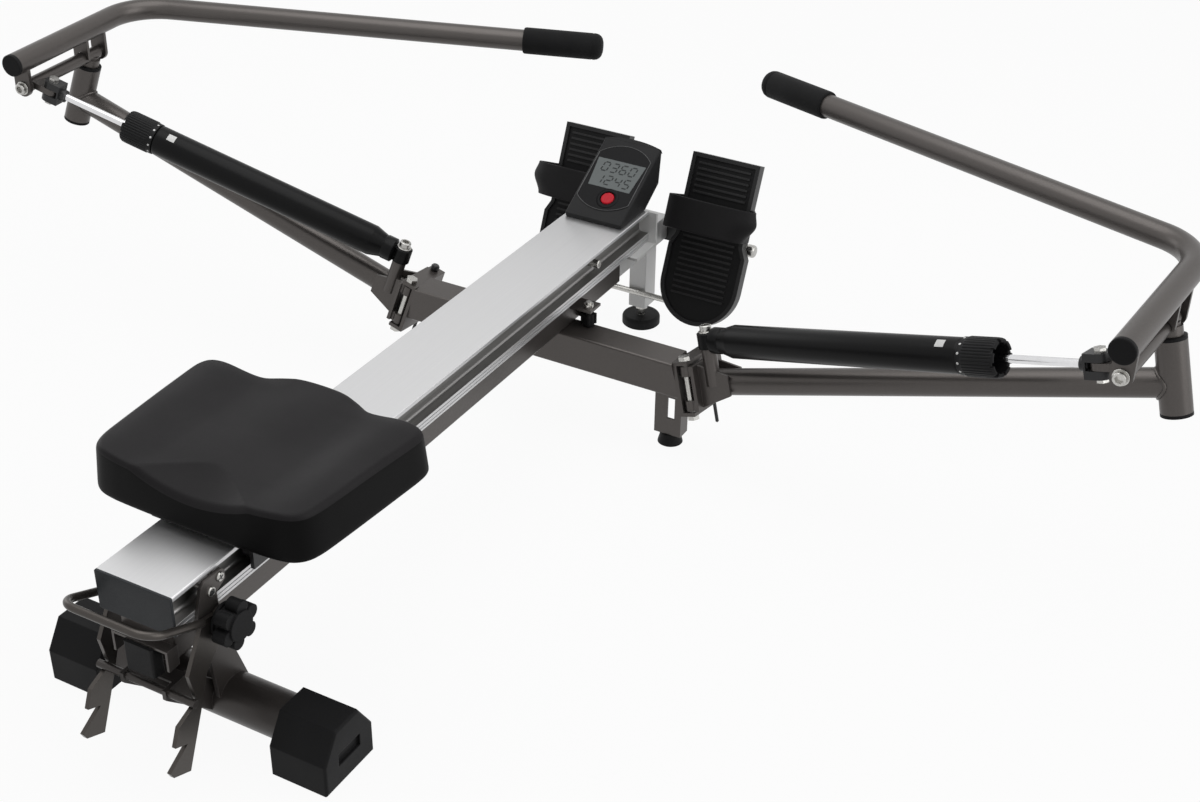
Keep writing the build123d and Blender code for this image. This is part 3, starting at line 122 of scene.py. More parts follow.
world = bpy.data.worlds.new("studio")
world.use_nodes = True
bpy.context.scene.world = world
backdrop = world.node_tree.nodes["Background"]
backdrop.inputs["Color"].default_value = (1, 1, 1, 1)
level = put(world.node_tree, "ShaderNodeMapRange",
            [("Value", seen_directly(world.node_tree)), ("To Min", SURROUND), ("To Max", 1.0)])
world.node_tree.links.new(level.outputs["Result"], backdrop.inputs["Strength"])
for lamp in LAMPS:
    softbox(*lamp)

floor_mesh = bpy.data.meshes.new("floor")
reach = FLOOR_SIZE / 2
floor_mesh.from_pydata([(-reach, -reach, 0), (reach, -reach, 0), (reach, reach, 0), (-reach, reach, 0)], [],
                       [(0, 1, 2, 3)])
floor = bpy.data.objects.new("floor", floor_mesh)
bpy.context.scene.collection.objects.link(floor)
paper = bpy.data.materials.new("floor_paper")
paper.use_nodes = True
paper_tree = paper.node_tree
paper_shader = paper_tree.nodes["Principled BSDF"]
paper_shader.inputs["Base Color"].default_value = FLOOR_COLOUR
paper_shader.inputs["Roughness"].default_value = FLOOR_ROUGHNESS
glow = put(paper_tree, "ShaderNodeEmission", [("Color", (1, 1, 1, 1)), ("Strength", 1.0)])
share = put(paper_tree, "ShaderNodeMath", [(0, seen_directly(paper_tree)), (1, FLOOR_GLOW)],
            operation="MULTIPLY")
lit = put(paper_tree, "ShaderNodeMixShader",
          [(0, share.outputs[0]), (1, paper_shader.outputs[0]), (2, glow.outputs[0])])
paper_tree.links.new(lit.outputs[0], paper_tree.nodes["Material Output"].inputs["Surface"])
floor_mesh.materials.append(paper)

# Rail: a hollow aluminium extrusion, satin anodised, with a flat plastic cover on its rear end.
# The die leaves fine lines along it, and a darker copy of the anodising on the grooves' walls is painted
# shade.
RAIL_COLOUR = (0.60, 0.60, 0.605, 1)
RAIL_LINE_COLOUR = (0.575, 0.575, 0.58, 1)
# Painted shade: darker anodising that stands for the shade inside the side grooves
PAINTED_GROOVE_TONE = (0.30, 0.295, 0.29, 1)
PAINTED_GROOVE_DARK = (0.24, 0.236, 0.232, 1)
GROOVE_X = 0.0495
GROOVE_Z = (0.2005, 0.2315)
COVER_COLOUR = (0.036, 0.039, 0.042, 1)
COVER_SHADE = (0.028, 0.030, 0.033, 1)
# Fineness of the die lines across, along and up the rail, and the part of their noise that shows
RAIL_STRETCH = (1400, 4, 1400)
LINE_SPREAD = (0.3, 0.7)
# Moulded grain: its fineness, the clouds mixed into it, and the part of the mixture that shows
GRAIN_SCALE = 900.0
CLOUD_SCALE = 14.0
CLOUD_SHARE = 0.45
GRAIN_SPREAD = (0.35, 0.65)


def shader_group(name, inputs, outputs):
    """Empty node group with named sockets; returns its tree and its two end nodes."""
    tree = bpy.data.node_groups.new(name, "ShaderNodeTree")
    for label, kind, value in inputs:
        tree.interface.new_socket(label, in_out="INPUT", socket_type=kind).default_value = value
    for label, kind in outputs:
        tree.interface.new_socket(label, in_out="OUTPUT", socket_type=kind)
    return tree, put(tree, "NodeGroupInput"), put(tree, "NodeGroupOutput")


COLOUR, NUMBER, ARROW = "NodeSocketColor", "NodeSocketFloat", "NodeSocketVector"
SURFACE_INPUTS = ("Colour", "Shade", "Smooth", "Rough")
SURFACE_OUTPUTS = (("Colour", COLOUR), ("Roughness", NUMBER), ("Height", NUMBER))


def surface_group(name, extra=()):
    """Finish group: two colours, two roughnesses and its own inputs go in, a varied surface comes out."""
    inputs = [("Colour", COLOUR, (0.5, 0.5, 0.5, 1)), ("Shade", COLOUR, (0.4, 0.4, 0.4, 1)),
              ("Smooth", NUMBER, 0.3), ("Rough", NUMBER, 0.5), *extra]
    return shader_group(name, inputs, SURFACE_OUTPUTS)


def close_surface(tree, entry, leave, pattern, height):
    """Ends a finish group: the pattern picks colour and roughness between their two values."""
    tint = put(tree, "ShaderNodeMix",
               [(0, pattern), (6, entry.outputs["Colour"]), (7, entry.outputs["Shade"])], data_type="RGBA")
    rough = put(tree, "ShaderNodeMapRange", [("Value", pattern), ("To Min", entry.outputs["Smooth"]),
                                             ("To Max", entry.outputs["Rough"])])
    tree.links.new(tint.outputs[2], leave.inputs["Colour"])
    tree.links.new(rough.outputs["Result"], leave.inputs["Roughness"])
    tree.links.new(height, leave.inputs["Height"])


def spread_out(tree, value, ends):
    """Stretches the middle of a noise over the whole of nought to one."""
    spread = put(tree, "ShaderNodeMapRange", [("Value", value), ("From Min", ends[0]), ("From Max", ends[1])])
    return spread.outputs["Result"]


def drawn_lines():
    """Fine lines left by a die or a brush along one direction."""
    tree, entry, leave = surface_group("drawn_lines", [("Stretch", ARROW, (900, 5, 900))])
    place = put(tree, "ShaderNodeTexCoord")
    scaled = put(tree, "ShaderNodeVectorMath", [(0, place.outputs["Object"]), (1, entry.outputs["Stretch"])],
                 operation="MULTIPLY")
    lines = put(tree, "ShaderNodeTexNoise", [("Vector", scaled.outputs[0]), ("Scale", 1.0), ("Detail", 3.0)])
    close_surface(tree, entry, leave, spread_out(tree, lines.outputs[0], LINE_SPREAD), lines.outputs[0])
    return tree


def moulded_grain():
    """Fine spark-eroded grain of moulded plastic, rubber or foam skin, with faint cloudiness."""
    tree, entry, leave = surface_group("moulded_grain", [("Scale", NUMBER, GRAIN_SCALE)])
    place = put(tree, "ShaderNodeTexCoord")
    fine = put(tree, "ShaderNodeTexNoise", [("Vector", place.outputs["Object"]), ("Detail", 3.0),
                                            ("Scale", entry.outputs["Scale"]), ("Roughness", 0.6)])
    cloud = put(tree, "ShaderNodeTexNoise", [("Vector", place.outputs["Object"]), ("Detail", 2.0),
                                             ("Scale", CLOUD_SCALE)])
    mixed = put(tree, "ShaderNodeMix", [(0, CLOUD_SHARE), (2, fine.outputs[0]), (3, cloud.outputs[0])])
    close_surface(tree, entry, leave, spread_out(tree, mixed.outputs[0], GRAIN_SPREAD), fine.outputs[0])
    return tree


def surfaced(name, group, colours, constants=None, *, roughness, bump, edge=0.0006, **own):
    """Material from a finish group, its two colours and roughnesses and the group's own inputs.

    Bump is the depth of the relief and edge the radius of softened edges. Constants go on the shader.
    """
    material = bpy.data.materials.new(name)
    material.use_nodes = True
    tree = material.node_tree
    shader = tree.nodes["Principled BSDF"]
    finish = put(tree, "ShaderNodeGroup", node_tree=group)
    for label, value in (*zip(SURFACE_INPUTS, (*colours, *roughness)), *own.items()):
        finish.inputs[label].default_value = value
    edges = put(tree, "ShaderNodeBevel", [("Radius", edge)], samples=4)
    relief = put(tree, "ShaderNodeBump", [("Strength", 1.0), ("Distance", bump),
                                          ("Height", finish.outputs["Height"]),
                                          ("Normal", edges.outputs["Normal"])])
    tree.links.new(finish.outputs["Colour"], shader.inputs["Base Color"])
    tree.links.new(finish.outputs["Roughness"], shader.inputs["Roughness"])
    tree.links.new(relief.outputs["Normal"], shader.inputs["Normal"])
    for label, value in (constants or {}).items():
        shader.inputs[label].default_value = value
    return material


def finish_nodes(material, *names):
    """Gives CAD nodes their material."""
    for name in names:
        nodes[name].data.materials.clear()
        nodes[name].data.materials.append(material)


def part_finish(name, material, chosen):
    """Gives some faces of a CAD node another material."""
    mesh = nodes[name].data
    mesh.materials.append(material)
    for face in mesh.polygons:
        if chosen(face):
            face.material_index = len(mesh.materials) - 1


def on_groove(face):
    """True on the walls of the rail's side grooves, which get painted shade."""
    return abs(face.center.x) < GROOVE_X and GROOVE_Z[0] < face.center.z < GROOVE_Z[1]


LINES = drawn_lines()
GRAIN = moulded_grain()
DULL = {"Specular IOR Level": 0.14}
anodised = surfaced("anodised_aluminium", LINES, (RAIL_COLOUR, RAIL_LINE_COLOUR), {"Metallic": 0.85},
                    roughness=(0.33, 0.37), bump=0.000004, Stretch=RAIL_STRETCH)
groove_painted_shade = surfaced("groove_painted_shade", LINES, (PAINTED_GROOVE_TONE, PAINTED_GROOVE_DARK), {"Metallic": 1.0},
                        roughness=(0.32, 0.40), bump=0.000004, Stretch=RAIL_STRETCH)
cover_plastic = surfaced("cover_plastic", GRAIN, (COVER_COLOUR, COVER_SHADE), DULL, roughness=(0.42, 0.55),
                         bump=0.00003)
finish_nodes(anodised, "rail")
# Painted shade on the walls of the side grooves
part_finish("rail", groove_painted_shade, on_groove)
finish_nodes(cover_plastic, "rail_end_cap")

# Steel frame: box tubes, folded brackets and round arms, welded and then sprayed together in a dark grey
# metallic. The flakes give it a soft sparkle, and the spray leaves a slight ripple.
PAINT_COLOUR = (0.098, 0.089, 0.084, 1)
PAINT_SHADE = (0.070, 0.063, 0.059, 1)
FOOT_PAINT_COLOUR = (0.048, 0.042, 0.039, 1)
FOOT_PAINT_SHADE = (0.034, 0.030, 0.028, 1)
FLAKE_SCALE = 2600.0
SPRAY_SCALE = 420.0


def flake_paint():
    """Metallic spray paint: small flakes that differ in brightness, over a slow ripple."""
    tree, entry, leave = surface_group("flake_paint", [("Scale", NUMBER, FLAKE_SCALE)])
    place = put(tree, "ShaderNodeTexCoord")
    flakes = put(tree, "ShaderNodeTexVoronoi", [("Vector", place.outputs["Object"]),
                                                ("Scale", entry.outputs["Scale"])])
    ripple = put(tree, "ShaderNodeTexNoise", [("Vector", place.outputs["Object"]), ("Detail", 1.0),
                                              ("Scale", SPRAY_SCALE)])
    close_surface(tree, entry, leave, flakes.outputs["Color"], ripple.outputs[0])
    return tree


PAINT = flake_paint()
grey_paint = surfaced("grey_metallic_paint", PAINT, (PAINT_COLOUR, PAINT_SHADE), {"Metallic": 0.65},
                      roughness=(0.30, 0.40), bump=0.00002)
foot_paint = surfaced("rear_foot_paint", PAINT, (FOOT_PAINT_COLOUR, FOOT_PAINT_SHADE), {"Metallic": 0.5},
                      roughness=(0.32, 0.42), bump=0.00002)
finish_nodes(grey_paint, "main_beam", "crossbeam", "crossbeam_legs", "rail_brackets")
finish_nodes(foot_paint, "rear_foot")

# Front leg: the same steel work in a light silver, with a black carrier for the pedals, their plated axle
# and the heel bar on it. The bolts of the whole frame are plated too, and the crossed slots of the bracket
# screws are thin black sheets on their heads, as painted shade.
SILVER_COLOUR = (0.60, 0.60, 0.595, 1)
SILVER_SHADE = (0.50, 0.50, 0.495, 1)
ZINC_COLOUR = (0.54, 0.53, 0.505, 1)
ZINC_SHADE = (0.38, 0.375, 0.36, 1)
BLACK_STEEL_COLOUR = (0.020, 0.020, 0.021, 1)
BLACK_STEEL_SHADE = (0.015, 0.015, 0.016, 1)
# Degrees between faces from which an edge stays sharp
SHARP_ANGLE = 38.0
ALL_SMOOTH = 180.0
# Bracket screws: places of the right-hand heads, their outer face and the arms of their crossed slots
SCREW_HEADS = ((-0.5261, 0.221, 18), (-0.5411, 0.212, 52))
SCREW_FACE = 0.0562
SLOT_REACH = 0.0034
SLOT_HALF = 0.0008
SLOT_LAYER = (-0.0002, 0.0001)


def link_piece(name, vertices, faces, material, sharp=SHARP_ANGLE):
    """New mesh object with one material, smooth except at sharp edges."""
    mesh = bpy.data.meshes.new(name)
    mesh.from_pydata([tuple(v) for v in vertices], [], faces)
    shape = bmesh.new()
    shape.from_mesh(mesh)
    bmesh.ops.recalc_face_normals(shape, faces=shape.faces)
    shape.to_mesh(mesh)
    shape.free()
    mesh.materials.append(material)
    mesh.shade_smooth()
    mesh.set_sharp_from_angle(angle=math.radians(sharp))
    piece = bpy.data.objects.new(name, mesh)
    bpy.context.scene.collection.objects.link(piece)
    return piece


def ring_faces(rings, sides, closed=True):
    """Quads between rings of points, each ring with the same count."""
    faces = []
    for ring in range(rings - 1):
        here, there = ring * sides, (ring + 1) * sides
        for n in range(sides if closed else sides - 1):
            after = (n + 1) % sides
            faces.append((here + n, here + after, there + after, there + n))
    return faces


def capped_faces(rings, sides):
    """The same quads, with a flat face on the first ring and on the last."""
    start = (rings - 1) * sides
    return ring_faces(rings, sides) + [tuple(range(sides - 1, -1, -1)), tuple(range(start, start + sides))]


def together(*shapes):
    """One list of points and one of faces from several."""
    points, faces = [], []
    for more_points, more_faces in shapes:
        start = len(points)
        points += more_points
        faces += [tuple(start + n for n in face) for face in more_faces]
    return points, faces


def both_hands(shape):
    """A right-hand shape with its mirror image."""
    points, faces = shape
    return together(shape, ([Vector((-p.x, p.y, p.z)) for p in points], [face[::-1] for face in faces]))


def cross_slot_shade(y, z, turn):
    """Crossed slot in the head of a bracket screw, as a thin black sheet of painted shade."""
    arm = [(SLOT_HALF, SLOT_HALF), (SLOT_REACH, SLOT_HALF), (SLOT_REACH, -SLOT_HALF)]
    outline = []
    for quarter in range(4):
        angle = math.radians(turn - 90 * quarter)
        cosine, sine = math.cos(angle), math.sin(angle)
        outline += [(y + a * cosine - b * sine, z + a * sine + b * cosine) for a, b in arm]
    points = [Vector((SCREW_FACE + proud, *place)) for proud in SLOT_LAYER for place in outline]
    return points, capped_faces(2, len(outline))


silver_paint = surfaced("silver_paint", PAINT, (SILVER_COLOUR, SILVER_SHADE), {"Metallic": 0.20},
                        roughness=(0.34, 0.44), bump=0.00002)
zinc = surfaced("zinc_plate", GRAIN, (ZINC_COLOUR, ZINC_SHADE), {"Metallic": 1.0}, roughness=(0.18, 0.36),
                bump=0.00001, Scale=500.0)
black_steel = surfaced("black_steel", PAINT, (BLACK_STEEL_COLOUR, BLACK_STEEL_SHADE),
                       {"Specular IOR Level": 0.35}, roughness=(0.32, 0.44), bump=0.00002)
finish_nodes(silver_paint, "front_leg")
finish_nodes(black_steel, "pedal_carrier")
finish_nodes(zinc, "pedal_axle", "heel_bar", "hinge_bolts", "frame_bolts")
# Painted shade: black sheets on the screw heads stand for the recesses of their crossed slots
slots = together(*[both_hands(cross_slot_shade(*head)) for head in SCREW_HEADS])
screw_slot_shade = link_piece("screw_slot_shade", *slots, black_steel)
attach(screw_slot_shade, "frame")

# Feet: black rubber and plastic under the leg, the cross beam and the rear tube, and the rear buffer.
# The levelling foot's stud and nut and the studs of the leg feet are plated, and the knobs and pivot
# discs are moulded in the same plastic as the rear caps.
RUBBER_COLOUR = (0.0085, 0.0085, 0.0090, 1)
RUBBER_SHADE = (0.0060, 0.0060, 0.0064, 1)
CAP_COLOUR = (0.0150, 0.0150, 0.0155, 1)
CAP_SHADE = (0.0115, 0.0115, 0.0120, 1)
DISC_TOP = 0.0155
PAD_TOP = 0.0165

rubber = surfaced("black_rubber", GRAIN, (RUBBER_COLOUR, RUBBER_SHADE), DULL, roughness=(0.50, 0.66),
                  bump=0.00004, Scale=700.0)
cap_plastic = surfaced("cap_plastic", GRAIN, (CAP_COLOUR, CAP_SHADE), {"Specular IOR Level": 0.06},
                       roughness=(0.40, 0.54), bump=0.00004, edge=0.0020, Scale=800.0)
finish_nodes(rubber, "crossbeam_feet", "front_foot", "bumper")
finish_nodes(cap_plastic, "foot_caps", "pivot_discs", "star_knob", "wing_knob")
part_finish("front_foot", zinc, lambda face: face.center.z > DISC_TOP)
part_finish("crossbeam_feet", zinc, lambda face: face.center.z > PAD_TOP)

# Rear rack: two notched hook plates that set the rail's tilt, and a bent bail to release them.
# They are bare steel with a brownish grey phosphate skin.
RACK_COLOUR = (0.074, 0.067, 0.061, 1)
RACK_SHADE = (0.054, 0.048, 0.044, 1)

rack_steel = surfaced("phosphate_steel", PAINT, (RACK_COLOUR, RACK_SHADE), {"Metallic": 0.8},
                      roughness=(0.28, 0.38), bump=0.00002)
finish_nodes(rack_steel, "tilt_rack")

# Seat: a saddle of moulded foam with its own satin skin, on a steel carriage with four nylon rollers.
# Two low bolsters, two hollows and a centre ridge shape its grained top, a scoop is cut into its rear edge,
# and its smoother walls flare out a little towards a rim that hangs over the carriage. The walls get a
# darker, less glossy copy of the skin as painted shade.
SEAT_FLOOR = 0.2448
SEAT_UNDERSIDE = 0.2482
SEAT_REAR_Y = -0.5065
SEAT_LENGTH = 0.2440
# Half of the plan at the foot of the wall, from the middle of the rear edge round to the front hump
SEAT_PLAN = ((0.0, -0.5065), (0.0450, -0.5057), (0.0850, -0.5045), (0.1090, -0.5028), (0.1272, -0.4985),
             (0.1395, -0.4880), (0.1455, -0.4710), (0.1490, -0.4400), (0.1530, -0.3900), (0.1565, -0.3400),
             (0.1582, -0.3110), (0.1572, -0.2960), (0.1510, -0.2862), (0.1320, -0.2822), (0.1000, -0.2815),
             (0.0760, -0.2790), (0.0540, -0.2705), (0.0300, -0.2640), (0.0, -0.2625))
# Heights of the bolsters, the hollows and the ridge at shares of the length
SEAT_CREST = ((0.0, 0.3020), (0.18, 0.3035), (0.55, 0.3040), (0.80, 0.3035), (1.0, 0.3005))
SEAT_HOLLOW = ((0.0, 0.2985), (0.20, 0.2965), (0.50, 0.2950), (0.78, 0.2960), (1.0, 0.2985))
SEAT_RIDGE = ((0.0, 0.2985), (0.25, 0.2975), (0.50, 0.2980), (0.80, 0.3000), (1.0, 0.2995))
HOLLOW_X = 0.066
CREST_X = 0.122
SCOOP_TIP = -0.4520
SCOOP_HALF = 0.0830
SCOOP_DEPTH = 0.0180
RELIEF_FROM = -0.3040
RELIEF_RUN = 0.0200
RELIEF_X = (0.035, 0.140)
RELIEF_DEPTH = 0.0025
TOP_ROUND = 0.0075
WALL_FLARE = 0.0040
LOW_ROUND = 0.0055
RIM_WIDTH = 0.0140
RIM_STEP = 0.0030
CREST_FALL = 5.0
SCOOP_POWER = 0.7
SEAT_RINGS = 46
SEAT_SPOKES = 240
RING_CROWDING = 1.7
PLAN_STEPS = 12
WALL_SHARES = (0.2, 0.4, 0.6, 0.8, 1.0)
LOW_ANGLES = (30, 60, 90)
SEAT_COLOUR = (0.0092, 0.0083, 0.0092, 1)
SEAT_SHADE = (0.0070, 0.0063, 0.0070, 1)
# Painted shade: a darker, less glossy copy of the skin for the seat's walls
SHADED_WALL_TONE = (0.0036, 0.0035, 0.0036, 1)
SHADED_WALL_DARK = (0.0028, 0.0027, 0.0028, 1)
NYLON_COLOUR = (0.030, 0.030, 0.032, 1)
NYLON_SHADE = (0.022, 0.022, 0.024, 1)


def smooth_between(pairs, at):
    """Value on a smooth line through (place, value) pairs."""
    if at <= pairs[0][0]:
        return pairs[0][1]
    for (start, low), (end, high) in zip(pairs, pairs[1:]):
        if at <= end:
            share = (at - start) / (end - start)
            return low + (high - low) * share * share * (3 - 2 * share)
    return pairs[-1][1]


def spline(points, steps):
    """Points of a Catmull-Rom curve through all but the first and the last of some plan points."""
    curve = []
    for n in range(len(points) - 3):
        before, start, end, after = (Vector(p) for p in points[n:n + 4])
        for k in range(steps):
            t = k / steps
            curve.append(0.5 * (2 * start + (end - before) * t
                                + (2 * before - 5 * start + 4 * end - after) * t * t
                                + (3 * start - before - 3 * end + after) * t ** 3))
    return curve


def even_points(curve, count):
    """The same closed curve with evenly spaced points."""
    lengths = [0.0]
    for start, end in zip(curve, curve[1:] + curve[:1]):
        lengths.append(lengths[-1] + (end - start).length)
    spaced = []
    at = 0
    for n in range(count):
        goal = lengths[-1] * n / count
        while lengths[at + 1] < goal:
            at += 1
        share = (goal - lengths[at]) / (lengths[at + 1] - lengths[at])
        spaced.append(curve[at].lerp(curve[(at + 1) % len(curve)], share))
    return spaced


def seat_height(x, y):
    """Top of the seat before its edge is rounded."""
    along = (y - SEAT_REAR_Y) / SEAT_LENGTH
    across = ((0.0, smooth_between(SEAT_RIDGE, along)), (HOLLOW_X, smooth_between(SEAT_HOLLOW, along)),
              (CREST_X, smooth_between(SEAT_CREST, along)))
    height = smooth_between(across, abs(x)) - CREST_FALL * max(0.0, abs(x) - CREST_X) ** 2
    reach = max(0.0, (SCOOP_TIP - y) / (SCOOP_TIP - SEAT_REAR_Y))
    half = SCOOP_HALF * reach ** SCOOP_POWER
    if abs(x) < half:
        height -= SCOOP_DEPTH * reach * (1 - (x / half) ** 2)
    near = min(1.0, max(0.0, (y - RELIEF_FROM) / RELIEF_RUN))
    aside = min(1.0, max(0.0, (abs(x) - RELIEF_X[0]) / (RELIEF_X[1] - RELIEF_X[0])))
    return height - RELIEF_DEPTH * near * near * math.sin(math.pi * aside)


def seat_rings():
    """Rings of points from the middle of the top, over the rounded edge, down the wall and under the rim."""
    whole = SEAT_PLAN + tuple((-x, y) for x, y in SEAT_PLAN[-2:0:-1])
    foot = even_points(spline((whole[-1], *whole, *whole[:2]), PLAN_STEPS), SEAT_SPOKES)
    middle = Vector((0, SEAT_REAR_Y + SEAT_LENGTH / 2))
    inward = [(middle - point).normalized() for point in foot]
    brow = [point + way * WALL_FLARE for point, way in zip(foot, inward)]
    rings = []
    for n in range(1, SEAT_RINGS + 1):
        share = 1 - (1 - n / SEAT_RINGS) ** RING_CROWDING
        ring = []
        for point in brow:
            spoke = point - middle
            inset = max(0.0, TOP_ROUND - (1 - share) * spoke.length)
            drop = TOP_ROUND - math.sqrt(max(0.0, TOP_ROUND ** 2 - inset ** 2))
            flat = middle + spoke * share
            ring.append((flat.x, flat.y, seat_height(flat.x, flat.y) - drop))
        rings.append(ring)
    tops = [point[2] for point in rings[-1]]
    for share in WALL_SHARES:
        rings.append([(*start.lerp(end, share), top + (SEAT_FLOOR + LOW_ROUND - top) * share)
                      for start, end, top in zip(brow, foot, tops)])
    for angle in LOW_ANGLES:
        bend = math.radians(angle)
        rings.append([(*(point + way * LOW_ROUND * (1 - math.cos(bend))),
                       SEAT_FLOOR + LOW_ROUND * (1 - math.sin(bend))) for point, way in zip(foot, inward)])
    for inset, height in ((RIM_WIDTH, SEAT_FLOOR), (RIM_WIDTH + RIM_STEP, SEAT_UNDERSIDE)):
        rings.append([(*(point + way * inset), height) for point, way in zip(foot, inward)])
    rings.append([(*middle.lerp(Vector(point[:2]), 0.5), SEAT_UNDERSIDE) for point in rings[-1]])
    return rings, middle


def subdivided(piece, levels):
    """Smooth surface over the piece's mesh."""
    rounding = piece.modifiers.new("smooth", "SUBSURF")
    rounding.levels = levels
    rounding.render_levels = levels
    return piece


seat_skin = surfaced("seat_skin", GRAIN, (SEAT_COLOUR, SEAT_SHADE),
                     {"Specular IOR Level": 0.13, "Sheen Weight": 0.015, "Sheen Roughness": 0.4},
                     roughness=(0.44, 0.56), bump=0.00005, Scale=1100.0)
seat_wall_painted_shade = surfaced("seat_wall_painted_shade", GRAIN, (SHADED_WALL_TONE, SHADED_WALL_DARK), {"Specular IOR Level": 0.06},
                     roughness=(0.40, 0.50), bump=0.00003, Scale=1100.0)
nylon = surfaced("roller_nylon", GRAIN, (NYLON_COLOUR, NYLON_SHADE), DULL, roughness=(0.34, 0.46),
                 bump=0.00002)
rings, seat_middle = seat_rings()
seat_points = [point for ring in rings for point in ring]
seat_faces = ring_faces(len(rings), SEAT_SPOKES)
top_hub = len(seat_points)
seat_points += [(*seat_middle, seat_height(*seat_middle)), (*seat_middle, SEAT_UNDERSIDE)]
last_ring = (len(rings) - 1) * SEAT_SPOKES
seat_faces += [(top_hub, (n + 1) % SEAT_SPOKES, n) for n in range(SEAT_SPOKES)]
seat_faces += [(top_hub + 1, last_ring + n, last_ring + (n + 1) % SEAT_SPOKES) for n in range(SEAT_SPOKES)]
seat = link_piece("seat_cushion", seat_points, seat_faces, seat_skin, sharp=ALL_SMOOTH)
seat.data.materials.append(seat_wall_painted_shade)
# The walls' painted shade begins on the outermost strip of the rounded edge
for face in seat.data.polygons:
    if SEAT_SPOKES * (SEAT_RINGS - 2) <= face.index < SEAT_SPOKES * (len(rings) - 1):
        face.material_index = 1
subdivided(seat, 1)
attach(seat, "seat")
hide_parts("seat_pad")
finish_nodes(black_steel, "seat_carriage")
finish_nodes(nylon, *[f"roller_{end}_{side}" for end in ("rear", "front") for side in ("right", "left")])

# Footplates: ribbed plates of black moulded plastic that rock on the axle.
# A wide rubber strap arches over each plate and is turned down over its two long edges.
PLATE_COLOUR = (0.0075, 0.0075, 0.0078, 1)
PLATE_SHADE = (0.0055, 0.0055, 0.0058, 1)
STRAP_COLOUR = (0.0085, 0.0080, 0.0086, 1)
STRAP_SHADE = (0.0062, 0.0060, 0.0064, 1)
PEDAL_TOP = Vector((0.107, 0.5649, 0.279))
PEDAL_HEEL = Vector((0.107, 0.4649, 0.049))
STRAP_FROM = 0.065
STRAP_WIDTH = 0.048
STRAP_THICK = 0.0035
STRAP_ROUND = 0.0011
STRAP_ROUND_STEPS = 3
STRAP_ROWS = 13
# Outside of the strap across the plate: x from its middle, then height over the face
STRAP_LINE = ((-0.0578, -0.0120), (-0.0584, 0.0080), (-0.0615, 0.0260), (-0.0610, 0.0375), (-0.0500, 0.0450),
              (-0.0250, 0.0485), (0.0050, 0.0498), (0.0320, 0.0484), (0.0530, 0.0436), (0.0672, 0.0345),
              (0.0712, 0.0240), (0.0668, 0.0120), (0.0594, 0.0010), (0.0578, -0.0120))
STRAP_STEPS = 6
STRAP_SHARP = 60.0
# How far the strap's outer side is pushed out along its width, and the share of that at a height over
# the face
STRAP_BULGE = ((0.0, 0.0010), (0.40, 0.0060), (1.0, -0.0085))
STRAP_GIVE = ((0.0010, 0.0), (0.0240, 1.0), (0.0440, 0.7), (0.0498, 0.0))
# Painted highlight: lighter, glossier plastic on the tops of the ribs and rim
RIB_HIGHLIGHT_TONE = (0.0165, 0.0165, 0.0170, 1)
RIB_HIGHLIGHT_DARK = (0.0100, 0.0100, 0.0104, 1)
RIB_TOP_HEIGHT = (-0.0015, 0.0002)
WALL_BELOW = -0.0045
WALL_LEAN = 0.4


def mirrored(piece, name):
    """Left-hand copy of a right-hand piece, with its own mesh."""
    mesh = piece.data.copy()
    mesh.transform(Matrix.Scale(-1, 4, (1, 0, 0)))
    mesh.flip_normals()
    copy = bpy.data.objects.new(name, mesh)
    for source in piece.modifiers:
        target = copy.modifiers.new(source.name, source.type)
        for setting in source.bl_rna.properties:
            if not setting.is_readonly and setting.identifier not in ("name", "type"):
                setattr(target, setting.identifier, getattr(source, setting.identifier))
    bpy.context.scene.collection.objects.link(copy)
    return copy


def handed(piece, stem, body, replaced=None):
    """Names a right-hand piece, adds its left-hand copy, and ties both to their bodies."""
    piece.name = f"{stem}_right"
    both = {"right": piece, "left": mirrored(piece, f"{stem}_left")}
    for side, item in both.items():
        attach(item, f"{body}_{side}")
        if replaced:
            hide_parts(f"{replaced}_{side}")
    return both


plate_plastic = surfaced("plate_plastic", GRAIN, (PLATE_COLOUR, PLATE_SHADE), DULL, roughness=(0.40, 0.56),
                         bump=0.00004, edge=0.0008)
strap_rubber = surfaced("strap_rubber", GRAIN, (STRAP_COLOUR, STRAP_SHADE), DULL, roughness=(0.48, 0.62),
                        bump=0.00005, Scale=600.0)
rib_painted_highlight = surfaced("rib_painted_highlight", GRAIN, (RIB_HIGHLIGHT_TONE, RIB_HIGHLIGHT_DARK), {"Specular IOR Level": 0.25},
                        roughness=(0.34, 0.48), bump=0.00003, edge=0.0006)
wall_plastic = surfaced("plate_wall_plastic", GRAIN, (PLATE_COLOUR, PLATE_SHADE),
                        {"Specular IOR Level": 0.40}, roughness=(0.34, 0.48), bump=0.00003, edge=0.0014)
finish_nodes(plate_plastic, "footplate_right", "footplate_left")
pedal_down = (PEDAL_HEEL - PEDAL_TOP).normalized()
pedal_out = Vector((0, pedal_down.z, -pedal_down.y))


def on_rib(face):
    """True on the tops of a footplate's ribs and rim, which get a lighter plastic as painted highlight."""
    return RIB_TOP_HEIGHT[0] < (face.center - PEDAL_TOP).dot(pedal_out) < RIB_TOP_HEIGHT[1]


def on_side(face):
    """True on the glossy walls round the outside of a footplate."""
    away = face.center - PEDAL_TOP
    return abs(face.normal.dot(pedal_out)) < WALL_LEAN and away.dot(pedal_out) < WALL_BELOW


